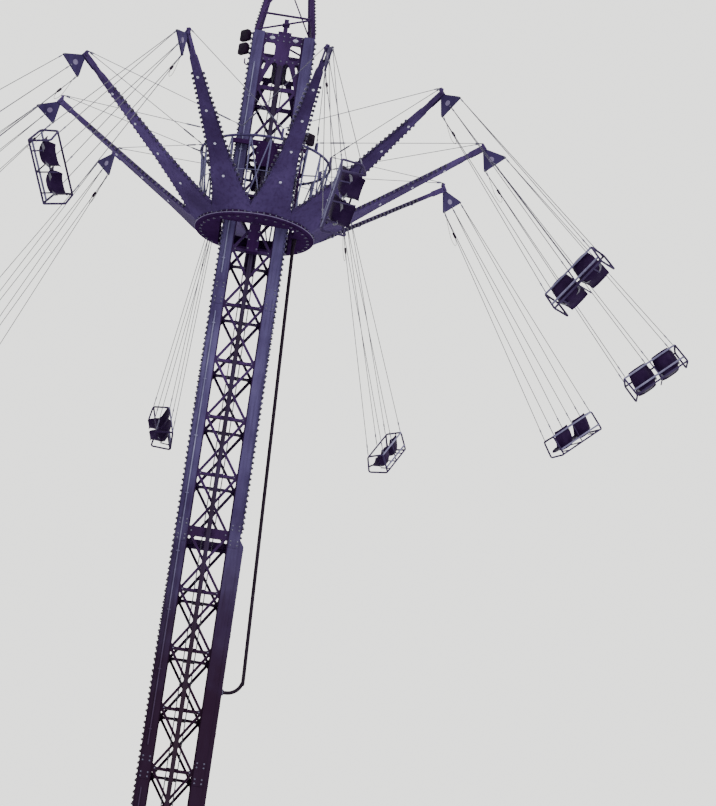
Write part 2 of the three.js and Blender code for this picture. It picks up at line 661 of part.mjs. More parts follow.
// Tubular chair frame with two bucket shells. X is across, Y is forward, Z is up along the cables.
function chairSolid() {
  const at = (x, v, w) => vec(x, v - CHAIR_TRAIL, w - CHAIR_DROP);
  const parts = [];
  for (const x of [-CHAIR_HALF, CHAIR_HALF]) {
    const loop = [at(x, BACK_V, 0), at(x, FRONT_V, FRONT_W), at(x, BASE_FRONT_V, BASE_W), at(x, BUMPER_V, BASE_W)];
    parts.push(mitredLoop(loop, FRAME_TUBE, 6, vec(1, 0, 0)));
  }
  for (const [v, w] of [[BACK_V, 0], [RAIL_V, RAIL_W], [BUMPER_V, BASE_W], [FRONT_V, FRONT_W]]) {
    parts.push(rod(at(-CHAIR_HALF, v, w), at(CHAIR_HALF, v, w), FRAME_TUBE, 6));
  }
  parts.push(rod(at(0, BUMPER_V, BASE_W), at(0, KEEL_FRONT_V, BASE_W), FRAME_TUBE, 4));
  parts.push(rod(at(0, BUMPER_V, BASE_W), at(0, BACK_V, 0), FRAME_TUBE, 4));
  let solid = unite(parts);
  for (const side of [-1, 1]) {
    solid = solid.add(bucketShell().translate([side * SHELL_CENTRE, -CHAIR_TRAIL, -CHAIR_DROP]));
  }
  return solid;
}

// Bucket shell: back, pan and cheeks, hollow towards the front and the top.
function bucketShell() {
  const rear = BACK_V + FRAME_TUBE - SHELL_LAP;
  const t = SHELL_THICK;
  const heel = SHELL_FOOT + SHELL_HEEL[1];
  const outer = [[rear, SHELL_TOP], [rear, heel], [rear + SHELL_HEEL[0], SHELL_FOOT],
    [rear + SHELL_LIP[0], SHELL_FOOT], [rear + SHELL_LIP[1], SHELL_CHEEK[1] - 3 * t],
    [rear + SHELL_CHEEK[0], SHELL_CHEEK[1]], [rear + SHELL_WING, SHELL_TOP]];
  const far = rear + SHELL_LIP[0] + t;
  const inner = [[rear + t, SHELL_TOP + t], [rear + t, heel + t / 2], [rear + SHELL_HEEL[0] + t / 2, SHELL_FOOT + t],
    [far, SHELL_FOOT + t], [far, SHELL_TOP + t]];
  const body = plateXZ(outer, -SHELL_HALF, SHELL_HALF).rotateZ(Math.PI / 2);
  const hollow = plateXZ(inner, t - SHELL_HALF, SHELL_HALF - t).rotateZ(Math.PI / 2);
  return toSolid(body).subtract(toSolid(hollow));
}

// Moves a hanging piece out to its flying angle and on to the tip of arm number index.
function flown(solid, index) {
  const matrix = new THREE.Matrix4().makeRotationZ(THREE.MathUtils.degToRad(armDegrees(index)));
  matrix.multiply(new THREE.Matrix4().makeTranslation(TIP_RADIUS, 0, RIM_Z + TIP_Z));
  matrix.multiply(new THREE.Matrix4().makeRotationY(THREE.MathUtils.degToRad(-SWING_DEG)));
  return toGeometry(solid.transform(matrix.elements));
}

// A lamp housing turned half way to the front, on a bracket out from the left face of the tower.
function headLamp(z) {
  const face = -TOWER_SIDE / 2 - SEAT_GAP;
  const middle = face - LAMP_HEAD_REACH;
  const half = LAMP_BRACKET_HALF;
  const y = LAMP_HEAD_Y;
  const housing = box(-LAMP_DEPTH / 2, LAMP_DEPTH / 2, -LAMP_HALF, LAMP_HALF, z - LAMP_HEIGHT / 2, z + LAMP_HEIGHT / 2);
  housing.rotateZ(Math.PI / 4);
  housing.translate(middle, y, 0);
  return toGeometry(unite([housing, box(middle, face, y - half, y + half, z - half, z + half)]));
}

// The same housing on a stub on the cage's top ring.
function hubLamp() {
  const foot = RIM_Z + CAGE_TOP_Z + CAGE_TUBE / Math.SQRT2 + SEAT_GAP;
  const middle = CAGE_TOP_RADIUS * Math.cos(Math.PI / CAGE_SIDES);
  const half = LAMP_BRACKET_HALF;
  const low = foot + LAMP_HUB_REACH;
  const housing = box(middle - LAMP_DEPTH / 2, middle + LAMP_DEPTH / 2, -LAMP_HALF, LAMP_HALF, low, low + LAMP_HEIGHT);
  const stub = box(middle - half, middle + half, -half, half, foot, low + WELD);
  return turned(toGeometry(unite([housing, stub])), LAMP_HUB_DEG - 90);
}

addNode('base_flange', baseFlange(), STEEL_DARK, 0.6, 0.5);
for (const [name, sx, sy] of [['column_front_left', -1, -1], ['column_front_right', 1, -1],
  ['column_rear_left', -1, 1], ['column_rear_right', 1, 1]]) {
  addNode(name, column(sx, sy), STEEL_BLUE, 0.6, 0.45);
}
['front', 'right', 'rear', 'left'].forEach((name, k) => {
  addNode(`lattice_${name}`, turned(latticeFace(), k * 90), STEEL_DARK, 0.6, 0.5);
  addNode(`head_frame_${name}`, turned(headFrame(), k * 90), STEEL_DARK, 0.6, 0.5);
});
const rail = box(-RAIL_HALF, RAIL_HALF, -RAIL_OUTER_Y, -LATTICE_OUTER_Y - SEAT_GAP, RAIL_FOOT, RAIL_TOP);
addNode('guide_rail_front', rail, STEEL_BLUE, 0.7, 0.4);
addNode('guide_rail_rear', turned(rail, 180), STEEL_BLUE, 0.7, 0.4);
addNode('sheave_block', sheaveBlock(), STEEL_DARK, 0.6, 0.5);
addNode('hoist_rope_left', hoistRope(-1), ROPE_GREY, 0.6, 0.5);
addNode('hoist_rope_right', hoistRope(1), ROPE_GREY, 0.6, 0.5);
addNode('mast', mast(), STEEL_DARK, 0.6, 0.5);
addNode('trunking', trunking(), STEEL_BLUE, 0.4, 0.5);
addNode('supply_cable', supplyCable(), RUBBER, 0.0, 0.7);
addNode('carriage', carriage(), STEEL_DARK, 0.6, 0.5);
addNode('rotor_ring', rotorRing(), STEEL_DARK, 0.6, 0.5);
addNode('cage', cage(), STEEL_BLUE, 0.6, 0.45);
const arms = [armSolid(0), armSolid(STAY_STEP)];
const hanger = hangerSolid();
const chair = chairSolid();
for (let i = 0; i < ARM_COUNT; i += 1) {
  const label = String(i + 1).padStart(2, '0');
  addNode(`arm_${label}`, toGeometry(arms[i % 2].rotate([0, 0, armDegrees(i)])), STEEL_DARK, 0.6, 0.5);
  addNode(`hanger_${label}`, flown(hanger, i), ROPE_GREY, 0.6, 0.45);
  addNode(`chair_${label}`, flown(chair, i), SHELL_RED, 0.3, 0.5);
}
addNode('stays_odd', stays(0, 0), STEEL_PALE, 0.6, 0.45);
addNode('stays_even', stays(1, STAY_STEP), STEEL_PALE, 0.6, 0.45);
addNode('floodlight_head_upper', headLamp(LAMP_HEAD_Z[0]), RUBBER, 0.3, 0.5);
addNode('floodlight_head_lower', headLamp(LAMP_HEAD_Z[1]), RUBBER, 0.3, 0.5);
addNode('floodlight_hub', hubLamp(), RUBBER, 0.3, 0.5);

export default ride;
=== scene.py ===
import math

import bpy
import numpy as np
from mathutils import Matrix, Vector


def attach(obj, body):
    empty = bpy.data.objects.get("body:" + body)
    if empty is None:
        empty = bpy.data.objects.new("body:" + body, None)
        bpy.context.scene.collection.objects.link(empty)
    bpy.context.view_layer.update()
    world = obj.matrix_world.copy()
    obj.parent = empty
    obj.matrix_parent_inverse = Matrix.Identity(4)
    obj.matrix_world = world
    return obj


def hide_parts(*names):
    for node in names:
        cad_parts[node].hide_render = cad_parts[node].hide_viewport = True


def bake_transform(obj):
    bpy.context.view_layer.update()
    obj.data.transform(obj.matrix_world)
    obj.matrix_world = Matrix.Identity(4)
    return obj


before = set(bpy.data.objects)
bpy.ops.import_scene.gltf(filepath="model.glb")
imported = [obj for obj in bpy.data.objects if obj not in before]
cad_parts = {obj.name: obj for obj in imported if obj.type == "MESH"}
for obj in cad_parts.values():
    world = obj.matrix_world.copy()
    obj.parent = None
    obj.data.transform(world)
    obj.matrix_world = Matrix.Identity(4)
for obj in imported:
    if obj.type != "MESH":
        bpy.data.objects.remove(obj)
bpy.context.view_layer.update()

# Camera: a long lens at eye height in front of the ride, looking up at the hub and held a little askew,
# as the photograph was taken.
EYE = (0.0, -54.76, 1.012)
YAW, PITCH, ROLL = 0.0458, 0.2900, 0.1390
FOCAL_PIXELS, FRAME_PIXELS, SENSOR, FAR = 2918.5, 806, 36.0, 500.0

look = Vector((math.sin(YAW) * math.cos(PITCH), math.cos(YAW) * math.cos(PITCH), math.sin(PITCH)))
level = Vector((math.cos(YAW), -math.sin(YAW), 0.0))
steep = level.cross(look)
rightward = level * math.cos(ROLL) + steep * math.sin(ROLL)
upward = steep * math.cos(ROLL) - level * math.sin(ROLL)
lens = bpy.data.cameras.new("camera")
lens.sensor_width = SENSOR
lens.lens = SENSOR * FOCAL_PIXELS / FRAME_PIXELS
lens.clip_end = FAR
camera = bpy.data.objects.new("camera", lens)
bpy.context.scene.collection.objects.link(camera)
camera.matrix_world = Matrix.Translation(EYE) @ Matrix((rightward, upward, -look)).transposed().to_4x4()
bpy.context.scene.camera = camera

# Supply cable: one heavy rubber-sheathed cable. It leaves the trunking's gland, turns up in a wide bend
# and hangs from the underside of the lifting deck.
GLAND = np.array((0.7356, -0.507, 11.2))
CABLE_TOP = np.array((0.800, -0.152, 20.4632))
CABLE_LEAD, CABLE_BEND, CABLE_TAIL, CABLE_HELD = 0.030, 0.300, 0.300, 0.35
CABLE_RADIUS, CABLE_SIDES, CABLE_STEPS, RISE_PARTS = 0.036, 16, 12, (0.12, 0.35, 0.65, 1.0)
SHARP = math.radians(38)
UP, BACK, RIGHT = (0, 0, 1), (0, 1, 0), (1, 0, 0)


class Form:
    """Points, a flat list of face corners, each face's number of corners, and two values per corner."""

    def __init__(self, points, corners, sizes, wraps):
        self.points, self.corners, self.sizes, self.wraps = points, corners, sizes, wraps

    def __add__(self, other):
        return Form(np.vstack((self.points, other.points)),
                    np.concatenate((self.corners, other.corners + len(self.points))),
                    np.concatenate((self.sizes, other.sizes)), np.vstack((self.wraps, other.wraps)))

    def __radd__(self, start):
        """Lets sum() join a list of forms."""
        return self

    def turned(self):
        """The same form with every face turned over."""
        return Form(self.points, self.corners[::-1], self.sizes[::-1], self.wraps[::-1])

    def scaled(self, factors):
        """Stretched along each axis; a mirrored form's faces are turned over, so that they point outwards."""
        form = Form(self.points * factors, self.corners, self.sizes, self.wraps)
        return form.turned() if np.prod(np.ones(3) * factors) < 0 else form

    def placed(self, origins, frames=np.eye(3)):
        """One copy at each origin: p = origin + x*first axis + y*second axis + z*third axis."""
        origins, frames = np.atleast_2d(origins), np.asarray(frames, float).reshape(-1, 3, 3)
        count = max(len(origins), len(frames))
        moved = np.einsum("nk,mkj->mnj", self.points, np.broadcast_to(frames, (count, 3, 3)))
        moved = moved + np.broadcast_to(origins, (count, 3))[:, None]
        steps = np.arange(count)[:, None] * len(self.points)
        return Form(moved.reshape(-1, 3), (self.corners[None] + steps).ravel(), np.tile(self.sizes, count),
                    np.tile(self.wraps, (count, 1)))


def sheet_of(points, close_u=False, close_v=False):
    """Quads between the neighbours of a grid of points p(u, v); a closed direction joins its ends."""
    nu, nv = points.shape[:2]
    u, v = np.arange(nu if close_u else nu - 1), np.arange(nv if close_v else nv - 1)
    u, v = np.meshgrid(u, v, indexing="ij")
    next_u, next_v = (u + 1) % nu, (v + 1) % nv
    quads = np.stack((u * nv + v, next_u * nv + v, next_u * nv + next_v, u * nv + next_v), -1)
    wraps = np.stack((np.stack((u, u + 1, u + 1, u), -1) / max(nu - 1, 1),
                      np.stack((v, v, v + 1, v + 1), -1) / max(nv - 1, 1)), -1)
    return Form(points.reshape(-1, 3), quads.ravel(), np.full(quads.size // 4, 4), wraps.reshape(-1, 2))


def stacked(rings):
    """A skin over a stack of closed rings of points p(u, v), with a flat face over the first and the last."""
    form, rows = sheet_of(rings, close_v=True), rings.shape[1]
    order = np.arange(len(form.points))
    return Form(form.points, np.concatenate((form.corners, order[:rows], order[:-rows - 1:-1])),
                np.append(form.sizes, (rows, rows)), np.vstack((form.wraps, np.zeros((2 * rows, 2)))))


def carried(profile, path, side, lift, closed=False):
    """A closed profile (a, b) carried along a path: p = path + a*side + b*lift, with flat ends if open.
    Faces are turned outwards by the profile's winding and the handedness of side, lift and the path."""
    profile, path = np.asarray(profile, float), np.asarray(path, float)
    side, lift = np.broadcast_to(side, path.shape), np.broadcast_to(lift, path.shape)
    a, b = profile.T
    winding = a @ np.roll(b, -1) - b @ np.roll(a, -1)
    handed = np.sum(np.cross(side, lift) * np.gradient(path, axis=0))
    points = path[:, None] + a[None, :, None] * side[:, None] + b[None, :, None] * lift[:, None]
    form = sheet_of(points, close_u=True, close_v=True) if closed else stacked(points)
    return form.turned() if winding * handed > 0 else form


def circle(radius, sides):
    """Points of a circle as (a, b) = radius*(cos t, sin t)."""
    t = -2 * np.pi * np.arange(sides) / sides
    return radius * np.stack((np.cos(t), np.sin(t)), -1)


def unit(vectors):
    """Each vector divided by its own length."""
    return vectors / np.linalg.norm(vectors, axis=-1, keepdims=True)


def across(path, helper, closed=False):
    """Two unit vectors square to a path: side = tangent x helper, lift = side x tangent."""
    run = unit(np.roll(path, -1, 0) - np.roll(path, 1, 0) if closed else np.gradient(path, axis=0))
    side = unit(np.cross(run, helper))
    return side, np.cross(side, run)


def tube(path, radius, sides, helper, closed=False):
    """A round tube: a circle carried along the path on the two vectors square to it."""
    side, lift = across(path, helper, closed)
    return carried(circle(radius, sides), path, side, lift, closed)


def smooth(knots, steps):
    """Catmull-Rom curve: each span is the cubic whose end slopes are half the chord of its neighbours."""
    knots = np.asarray(knots, float)
    k = np.vstack((2 * knots[0] - knots[1], knots, 2 * knots[-1] - knots[-2]))
    t = np.linspace(0, 1, steps, endpoint=False)[None, :, None]
    a, b, c, d = (k[i:len(k) - 3 + i, None] for i in range(4))
    spans = 0.5 * (2 * b + (c - a) * t + (2 * a - 5 * b + 4 * c - d) * t**2 + (3 * b - a - 3 * c + d) * t**3)
    return np.vstack((spans.reshape(-1, knots.shape[1]), knots[-1:]))


def piece(name, form, paint, body, soft=False, stands_for=None):
    """Puts a form into a mesh object at the origin and hands it to the frame. A paint is a material and
    its slot; the slot is not used."""
    mesh = bpy.data.meshes.new(name)
    mesh.vertices.add(len(form.points))
    mesh.vertices.foreach_set("co", form.points.astype(np.float32).ravel())
    mesh.loops.add(len(form.corners))
    mesh.loops.foreach_set("vertex_index", form.corners.astype(np.int32))
    mesh.polygons.add(len(form.sizes))
    mesh.polygons.foreach_set("loop_start", (np.cumsum(form.sizes) - form.sizes).astype(np.int32))
    mesh.polygons.foreach_set("use_smooth", np.full(len(form.sizes), soft))
    mesh.uv_layers.new(name="wrap").data.foreach_set("uv", form.wraps.astype(np.float32).ravel())
    mesh.update(calc_edges=True)
    mesh.validate()
    if soft:
        mesh.set_sharp_from_angle(angle=SHARP)
    mesh.materials.append(paint[0])
    made = bpy.data.objects.new(name, mesh)
    bpy.context.scene.collection.objects.link(made)
    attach(made, body)
    if stands_for:
        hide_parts(stands_for)
    return made


class Wire:
    """An output socket. Arithmetic on it adds Math nodes to its tree."""

    def __init__(self, tree, socket):
        self.tree, self.socket = tree, socket

    def maths(self, operation, *values):
        node = self.tree.nodes.new("ShaderNodeMath")
        node.operation = operation
        for slot, value in zip(node.inputs, values):
            plug(self.tree, value, slot)
        return Wire(self.tree, node.outputs[0])

    def __add__(self, other):
        return self.maths("ADD", self, other)

    def __sub__(self, other):
        return self.maths("SUBTRACT", self, other)

    def __rsub__(self, other):
        return self.maths("SUBTRACT", other, self)

    def __mul__(self, other):
        return self.maths("MULTIPLY", self, other)

    def __pow__(self, other):
        return self.maths("POWER", self, other)

    __radd__ = __add__
    __rmul__ = __mul__

    def held(self):
        """Held between nothing and one."""
        return self.maths("MINIMUM", self.maths("MAXIMUM", self, 0.0), 1.0)

    def rising(self, start, slope):
        """Nothing up to start, then growing by the slope until one."""
        return ((self - start) * slope).held()


def plug(tree, value, socket):
    """Links a wire to a socket, or sets a plain value on it."""
    if isinstance(value, Wire):
        tree.links.new(value.socket, socket)
    else:
        socket.default_value = value


# Painted shade: colours darken towards the ground, fully below the first height and not at all above the
# second, with a ragged edge as wide as the third (metres).
LOW_SHADE_FULL, LOW_SHADE_NONE, LOW_SHADE_RAGGED = 11.0, 15.5, 3.0
FROM_OBJECT, FROM_WRAP = 3, 2


class Finish:
    """One material with its slot: its tree, its principled shader, and the nodes that are added to them."""

    def __init__(self, name, slot, **plain):
        self.material, self.slot = bpy.data.materials.new(name), slot
        self.material.use_nodes = True
        self.tree = self.material.node_tree
        self.shader = self.tree.nodes["Principled BSDF"]
        for socket, value in plain.items():
            self.shader.inputs[socket.replace("_", " ")].default_value = value

    def add(self, kind, settings=None, out=0, **sockets):
        """One node: its settings first, then its sockets by name, or by number as i0, i1."""
        node = self.tree.nodes.new("ShaderNode" + kind)
        for key, value in (settings or {}).items():
            setattr(node, key, value)
        for key, value in sockets.items():
            plug(self.tree, value, node.inputs[int(key[1:]) if key[0] == "i" and key[1:].isdigit() else key])
        return Wire(self.tree, node.outputs[out])

    def mix(self, factor, first, second):
        """Colour mix; plain colours are given as three numbers."""
        first, second = ((*c, 1.0) if isinstance(c, tuple) else c for c in (first, second))
        return self.add("Mix", {"data_type": "RGBA"}, out=2, i0=factor, i6=first, i7=second)

    def place(self, stretch=(1.0, 1.0, 1.0), source=FROM_OBJECT):
        return self.add("Mapping", Vector=self.add("TexCoord", out=source), Scale=stretch)

    def noise(self, scale, detail=4.0, rough=0.55, stretch=(1.0, 1.0, 1.0)):
        return self.add("TexNoise", Vector=self.place(stretch), Scale=scale, Detail=detail, Roughness=rough)

    def painted_low_shade(self):
        """Mask for the painted shade low down: one near the ground, falling to nothing between the full-shade
        and no-shade heights, ragged with noise.
        """
        height = self.add("SeparateXYZ", out=2, Vector=self.place())
        ragged = (self.noise(1.3, 5.0) - 0.5) * LOW_SHADE_RAGGED
        return ((LOW_SHADE_NONE - height + ragged) * (1.0 / (LOW_SHADE_NONE - LOW_SHADE_FULL))).held()

    def feed(self, colour, rough, *bump):
        """Links colour, roughness and a bump's height, strength and distance, and returns the paint."""
        wires = {"Base Color": colour, "Roughness": rough}
        if bump:
            wires["Normal"] = self.add("Bump", **dict(zip(("Height", "Strength", "Distance"), bump)))
        for socket, wire in wires.items():
            plug(self.tree, wire, self.shader.inputs[socket])
        return self.material, self.slot


def rubber():
    """Matt black sheath: chalky bloom in long patches, and fine scuffs."""
    finish = Finish("cable_rubber", "rubber_cable", Specular_IOR_Level=0.06)
    bloom = finish.noise(1.4, 5.0, stretch=(7.0, 7.0, 1.6))
    scuff = finish.noise(1.0, 3.0, stretch=(40.0, 40.0, 9.0))
    colour = finish.mix((bloom * 1.8 - 0.55).held(), (0.005, 0.0015, 0.006), (0.013, 0.007, 0.016))
    colour = finish.mix(scuff.rising(0.62, 6.0), colour, (0.035, 0.028, 0.042))
    return finish.feed(colour, 0.52 + 0.3 * bloom, scuff, 0.35, 0.002)


turns = np.radians(np.arange(0, 91, 15))
bend = np.stack((CABLE_LEAD + CABLE_BEND * np.sin(turns), 0 * turns, CABLE_BEND * (1 - np.cos(turns))), -1)
climb = CABLE_TOP - (0, 0, CABLE_TAIL) - GLAND - bend[-1]
rise = GLAND + bend[-1] + np.array(RISE_PARTS)[:, None] * climb
cable_route = smooth(np.vstack((GLAND, GLAND + bend, rise, CABLE_TOP)), CABLE_STEPS)
rubber_black = rubber()
cable_form = tube(cable_route, CABLE_RADIUS, CABLE_SIDES, BACK)
cable = piece("supply_cable_sheath", cable_form, rubber_black, "tower", soft=True)
cable.parent = None
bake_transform(cable)
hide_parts("supply_cable")

# Base flange: a thick steel plate on the foundation, welded to the columns' ribs and held by anchor
# bolts with washers and double nuts. The tower's paint is a dark satin violet with rain streaks.
FLANGE_TOP, ANCHOR_STEP, ANCHOR_REACH, SECOND_NUT = 0.080, 0.3083, 3, 0.034
# The first colour is the painted shade laid over colours low down; the second is the primer under the chips.
LOW_SHADE, PRIMER = (0.010, 0.0025, 0.009), (0.08, 0.07, 0.11)
SIDES = ("front", "right", "rear", "left")


def weathered(name, slot, base, faded, streak, chips=0.70, scale=1.0, low_shade=LOW_SHADE, shine=0.03):
    """Satin paint: slow fading, dirt drawn down in streaks, chips down to the primer, and painted shade
    darkening it low down.
    """
    finish = Finish(name, slot, Specular_IOR_Level=shine)
    fade = finish.noise(0.9 * scale, 5.0)
    runs = finish.noise(1.0 * scale, 4.0, stretch=(16.0, 16.0, 1.3))
    chip = finish.noise(34.0 * scale, 6.0, 0.62).rising(chips, 14.0)
    colour = finish.mix(fade.rising(0.36, 2.6), base, faded)
    colour = finish.mix(runs.rising(0.47, 3.2) * 0.62, colour, streak)
    colour = finish.mix(chip * 0.6, colour, PRIMER)
    # Painted shade: the paint darkens towards the ground.
    colour = finish.mix(finish.painted_low_shade() * 0.92, colour, low_shade)
    height = finish.noise(240.0, 2.0) * 0.25 - chip * 0.9 + runs * 0.2
    return finish.feed(colour, 0.46 + 0.22 * fade + 0.25 * chip, height, 0.30, 0.0015)


def galvanised():
    """Hot-dip zinc: crystal spangle from Voronoi cells, under grey bloom."""
    finish = Finish("zinc", "stay_cable", Metallic=0.30, Specular_IOR_Level=0.2)
    cells = finish.add("TexVoronoi", {"feature": "F1"}, Vector=finish.place(), Scale=70.0)
    bloom = finish.noise(11.0, 5.0)
    colour = finish.mix((cells * 0.9 + bloom * 0.7 - 0.35).held(), (0.042, 0.038, 0.065), (0.105, 0.10, 0.15))
    return finish.feed(colour, 0.34 + 0.34 * bloom, cells, 0.15, 0.001)


def coat(paint, *names):
    """Puts a paint on the nodes that stay in view."""
    for name in names:
        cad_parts[name].material_slots[0].material = paint[0]


def spun(profile, sides):
    """A profile (radius, height) turned about the third axis; points on the axis become one point each."""
    t = 2 * np.pi * np.arange(sides) / sides
    r, h = np.array(profile, float).T
    points = np.stack((r[None] * np.cos(t)[:, None], r[None] * np.sin(t)[:, None],
                       np.broadcast_to(h, (sides, len(h)))), -1)
    form = sheet_of(points, close_u=True)
    _, first, merged = np.unique(np.round(form.points, 7), axis=0, return_index=True, return_inverse=True)
    corners = merged.ravel()[form.corners].reshape(-1, 4)
    keep = corners != np.roll(corners, 1, axis=1)
    return Form(form.points[first], corners[keep], keep.sum(1), form.wraps.reshape(-1, 4, 2)[keep])


def facing(outward, helper=UP):
    """Frames whose third axis is outward: first = helper x outward, second = outward x first."""
    outward = unit(np.atleast_2d(np.asarray(outward, float)))
    first = unit(np.cross(helper, outward))
    return np.stack((first, np.cross(outward, first), outward), 1)


def bolt(across_flats, height, washer):
    """Hexagon head on a round washer, as two turned profiles."""
    radius, low = across_flats / math.sqrt(3), 0.1 * height
    hexagon = spun(((0, low), (radius, low), (radius, 0.8 * height), (0.86 * radius, height), (0, height)), 6)
    return hexagon + spun(((0, 0), (washer, 0), (washer, 2 * low), (0, 2 * low)), 12)


steel_dark = weathered("dark_steel", "dark_steel", (0.017, 0.006, 0.032), (0.036, 0.016, 0.068),
                       (0.010, 0.004, 0.018))
steel_tower = weathered("tower_steel", "tower_steel", (0.028, 0.019, 0.060), (0.064, 0.053, 0.124),
                        (0.014, 0.008, 0.028))
zinc = galvanised()
coat(steel_dark, "base_flange", "sheave_block", "mast")
for name in SIDES:
    coat(steel_dark, f"lattice_{name}", f"head_frame_{name}")
anchor_run = range(-ANCHOR_REACH, ANCHOR_REACH + 1)
anchors = [(i * ANCHOR_STEP, j * ANCHOR_STEP, FLANGE_TOP) for i in anchor_run for j in anchor_run
           if max(abs(i), abs(j)) == ANCHOR_REACH]
stud = spun(((0, 0), (0.015, 0), (0.015, 0.105), (0.012, 0.112), (0, 0.112)), 12)
nut = bolt(0.055, 0.032, 0.038)
piece("anchor_bolts", (nut + nut.placed((0, 0, SECOND_NUT)) + stud).placed(anchors), zinc, "tower")

# Columns: four welded box columns with bolted splice plates. A thin angle strip on each outer corner
# carries a row of cap lamps; on the front right column the strip starts above the trunking.
CORNER, COLUMN_MIDDLE, STRIP_HALF, STRIP_DEPTH = 0.615, 0.5075, 0.017, 0.010
STRIP_BELOW, STRIP_ABOVE = (0, 0, 0.06), (0, 0, 0.04)
LAMP_PITCH, LAMP_FOOT, LAMP_TOP, LAMP_FOOT_RIGHT = 0.110, 0.62, 24.50, 14.35
SPLICES, TRUNK_END, SPLICE_THICK = (3.85, 9.60, 14.20, 19.00), 14.4, 0.008
CONDUIT_X, CONDUIT_RADIUS, CONDUIT_SPANS = -0.520, 0.013, ((0.9, 9.2), (10.0, 18.6), (19.4, 23.9))
CLAMP_FIRST, CLAMP_PITCH = 0.3, 1.15
CORNERS = (("front_left", -1, -1), ("front_right", 1, -1), ("rear_left", -1, 1), ("rear_right", 1, 1))


def globe_glass():
    """Unlit coloured lamp caps: smoky plastic with a clear coat, dustier on some than on others, with painted
    shade low down.
    """
    finish = Finish("lamp_caps", "lamp_housing", Coat_Weight=0.08, Coat_Roughness=0.1, Specular_IOR_Level=0.2)
    tint = finish.noise(7.0, 2.0)
    colour = finish.mix(tint.rising(0.45, 3.0), (0.008, 0.004, 0.018), (0.052, 0.044, 0.090))
    # Painted shade: the caps darken towards the ground.
    colour = finish.mix(finish.painted_low_shade() * 0.9, colour, LOW_SHADE)
    return finish.feed(colour, 0.16 + 0.30 * finish.noise(60.0, 4.0))


def flat_plate(half_width, half_height, thick, chamfer):
    """A plate with chamfered corners and a small bevel round its face, its back on the zero plane."""
    w, h, c = half_width, half_height, chamfer
    outline = np.array(((c - w, -h), (-w, c - h), (-w, h - c), (c - w, h), (w - c, h), (w, h - c), (w, c - h),
                        (w - c, -h)))
    bevel = 1.0 - 0.25 * thick / min(w, h)
    return stacked(np.array([np.column_stack((outline * shrink, np.full(8, z)))
                             for z, shrink in ((0.0, 1.0), (0.75 * thick, 1.0), (thick, bevel))]))


def rod(start, end, radius, sides, helper=UP, stations=2):
    """A straight round bar: a tube through evenly spaced stations."""
    return tube(np.linspace(start, end, stations), radius, sides, helper)


coat(steel_tower, "trunking", *(f"column_{name}" for name, _, _ in CORNERS))
lamp_glass = globe_glass()
cap = spun(((0, 0), (0.017, 0), (0.017, 0.012), (0.0225, 0.018), (0.0265, 0.029), (0.0225, 0.041),
            (0.012, 0.048), (0, 0.050)), 8)
strip_foot = -STRIP_DEPTH - STRIP_HALF
strip_profile = ((-STRIP_HALF, 0), (-STRIP_HALF, strip_foot), (STRIP_HALF, strip_foot), (STRIP_HALF, 0))
for name, sx, sy in CORNERS:
    outward = unit(np.array((sx, sy, 0.0)))
    seat = CORNER * np.array((sx, sy, 0)) + outward * STRIP_DEPTH
    low = np.array((0, 0, LAMP_FOOT_RIGHT if name == "front_right" else LAMP_FOOT))
    strip_path = seat + np.array((low - STRIP_BELOW, STRIP_ABOVE + np.array((0, 0, LAMP_TOP))))
    strip = carried(strip_profile, strip_path, np.cross(UP, outward), outward)
    piece(f"lamp_strip_{name}", strip, steel_tower, "tower")
    caps = cap.placed(seat + np.arange(low[2], LAMP_TOP, LAMP_PITCH)[:, None] * UP, facing(outward))
    piece(f"cap_lamps_{name}", caps, lamp_glass, "tower", soft=True)

splice_at, splice_out = [], []
for z in SPLICES:
    for _, sx, sy in CORNERS:
        for outward in ((sx, 0, 0), (0, sy, 0)):
            if outward == RIGHT and sy < 0 and z < TRUNK_END:
                continue
            splice_at.append(np.where(outward, CORNER, COLUMN_MIDDLE) * (sx, sy, 0) + (0, 0, z))
            splice_out.append(outward)
splice_frames = facing(splice_out)
splice = flat_plate(0.098, 0.240, SPLICE_THICK, 0.014)
head = bolt(0.024, 0.014, 0.017)
splice_bolts = head.placed([(x, y, SPLICE_THICK) for x in (-0.065, 0.065)
                            for y in (-0.19, -0.11, 0.11, 0.19)])
piece("splice_plates", splice.placed(splice_at, splice_frames), steel_tower, "tower")
piece("splice_bolts", splice_bolts.placed(splice_at, splice_frames), zinc, "tower")

# The conduit's pale paint is a painted highlight: it stands in for the light caught in a strip along the
# front left column.
conduit_highlight_paint = weathered("conduit", "tower_steel", (0.075, 0.070, 0.135), (0.15, 0.145, 0.235),
                          (0.026, 0.020, 0.044), scale=2.0, low_shade=(0.022, 0.010, 0.026))
clamp = flat_plate(0.030, 0.012, 0.004, 0.004)
out_front = facing((0, -1, 0))
conduit, conduit_y = [], -CORNER - CONDUIT_RADIUS
for low, high in CONDUIT_SPANS:
    ends = [(CONDUIT_X, conduit_y, z) for z in (low, high)]
    conduit.append(rod(*ends, CONDUIT_RADIUS, 12, BACK, 4))
    clamp_at = [(CONDUIT_X, conduit_y - CONDUIT_RADIUS, z)
                for z in np.arange(low + CLAMP_FIRST, high, CLAMP_PITCH)]
    conduit.append(clamp.placed(clamp_at, out_front))
piece("lamp_conduit", sum(conduit), conduit_highlight_paint, "tower", soft=True)

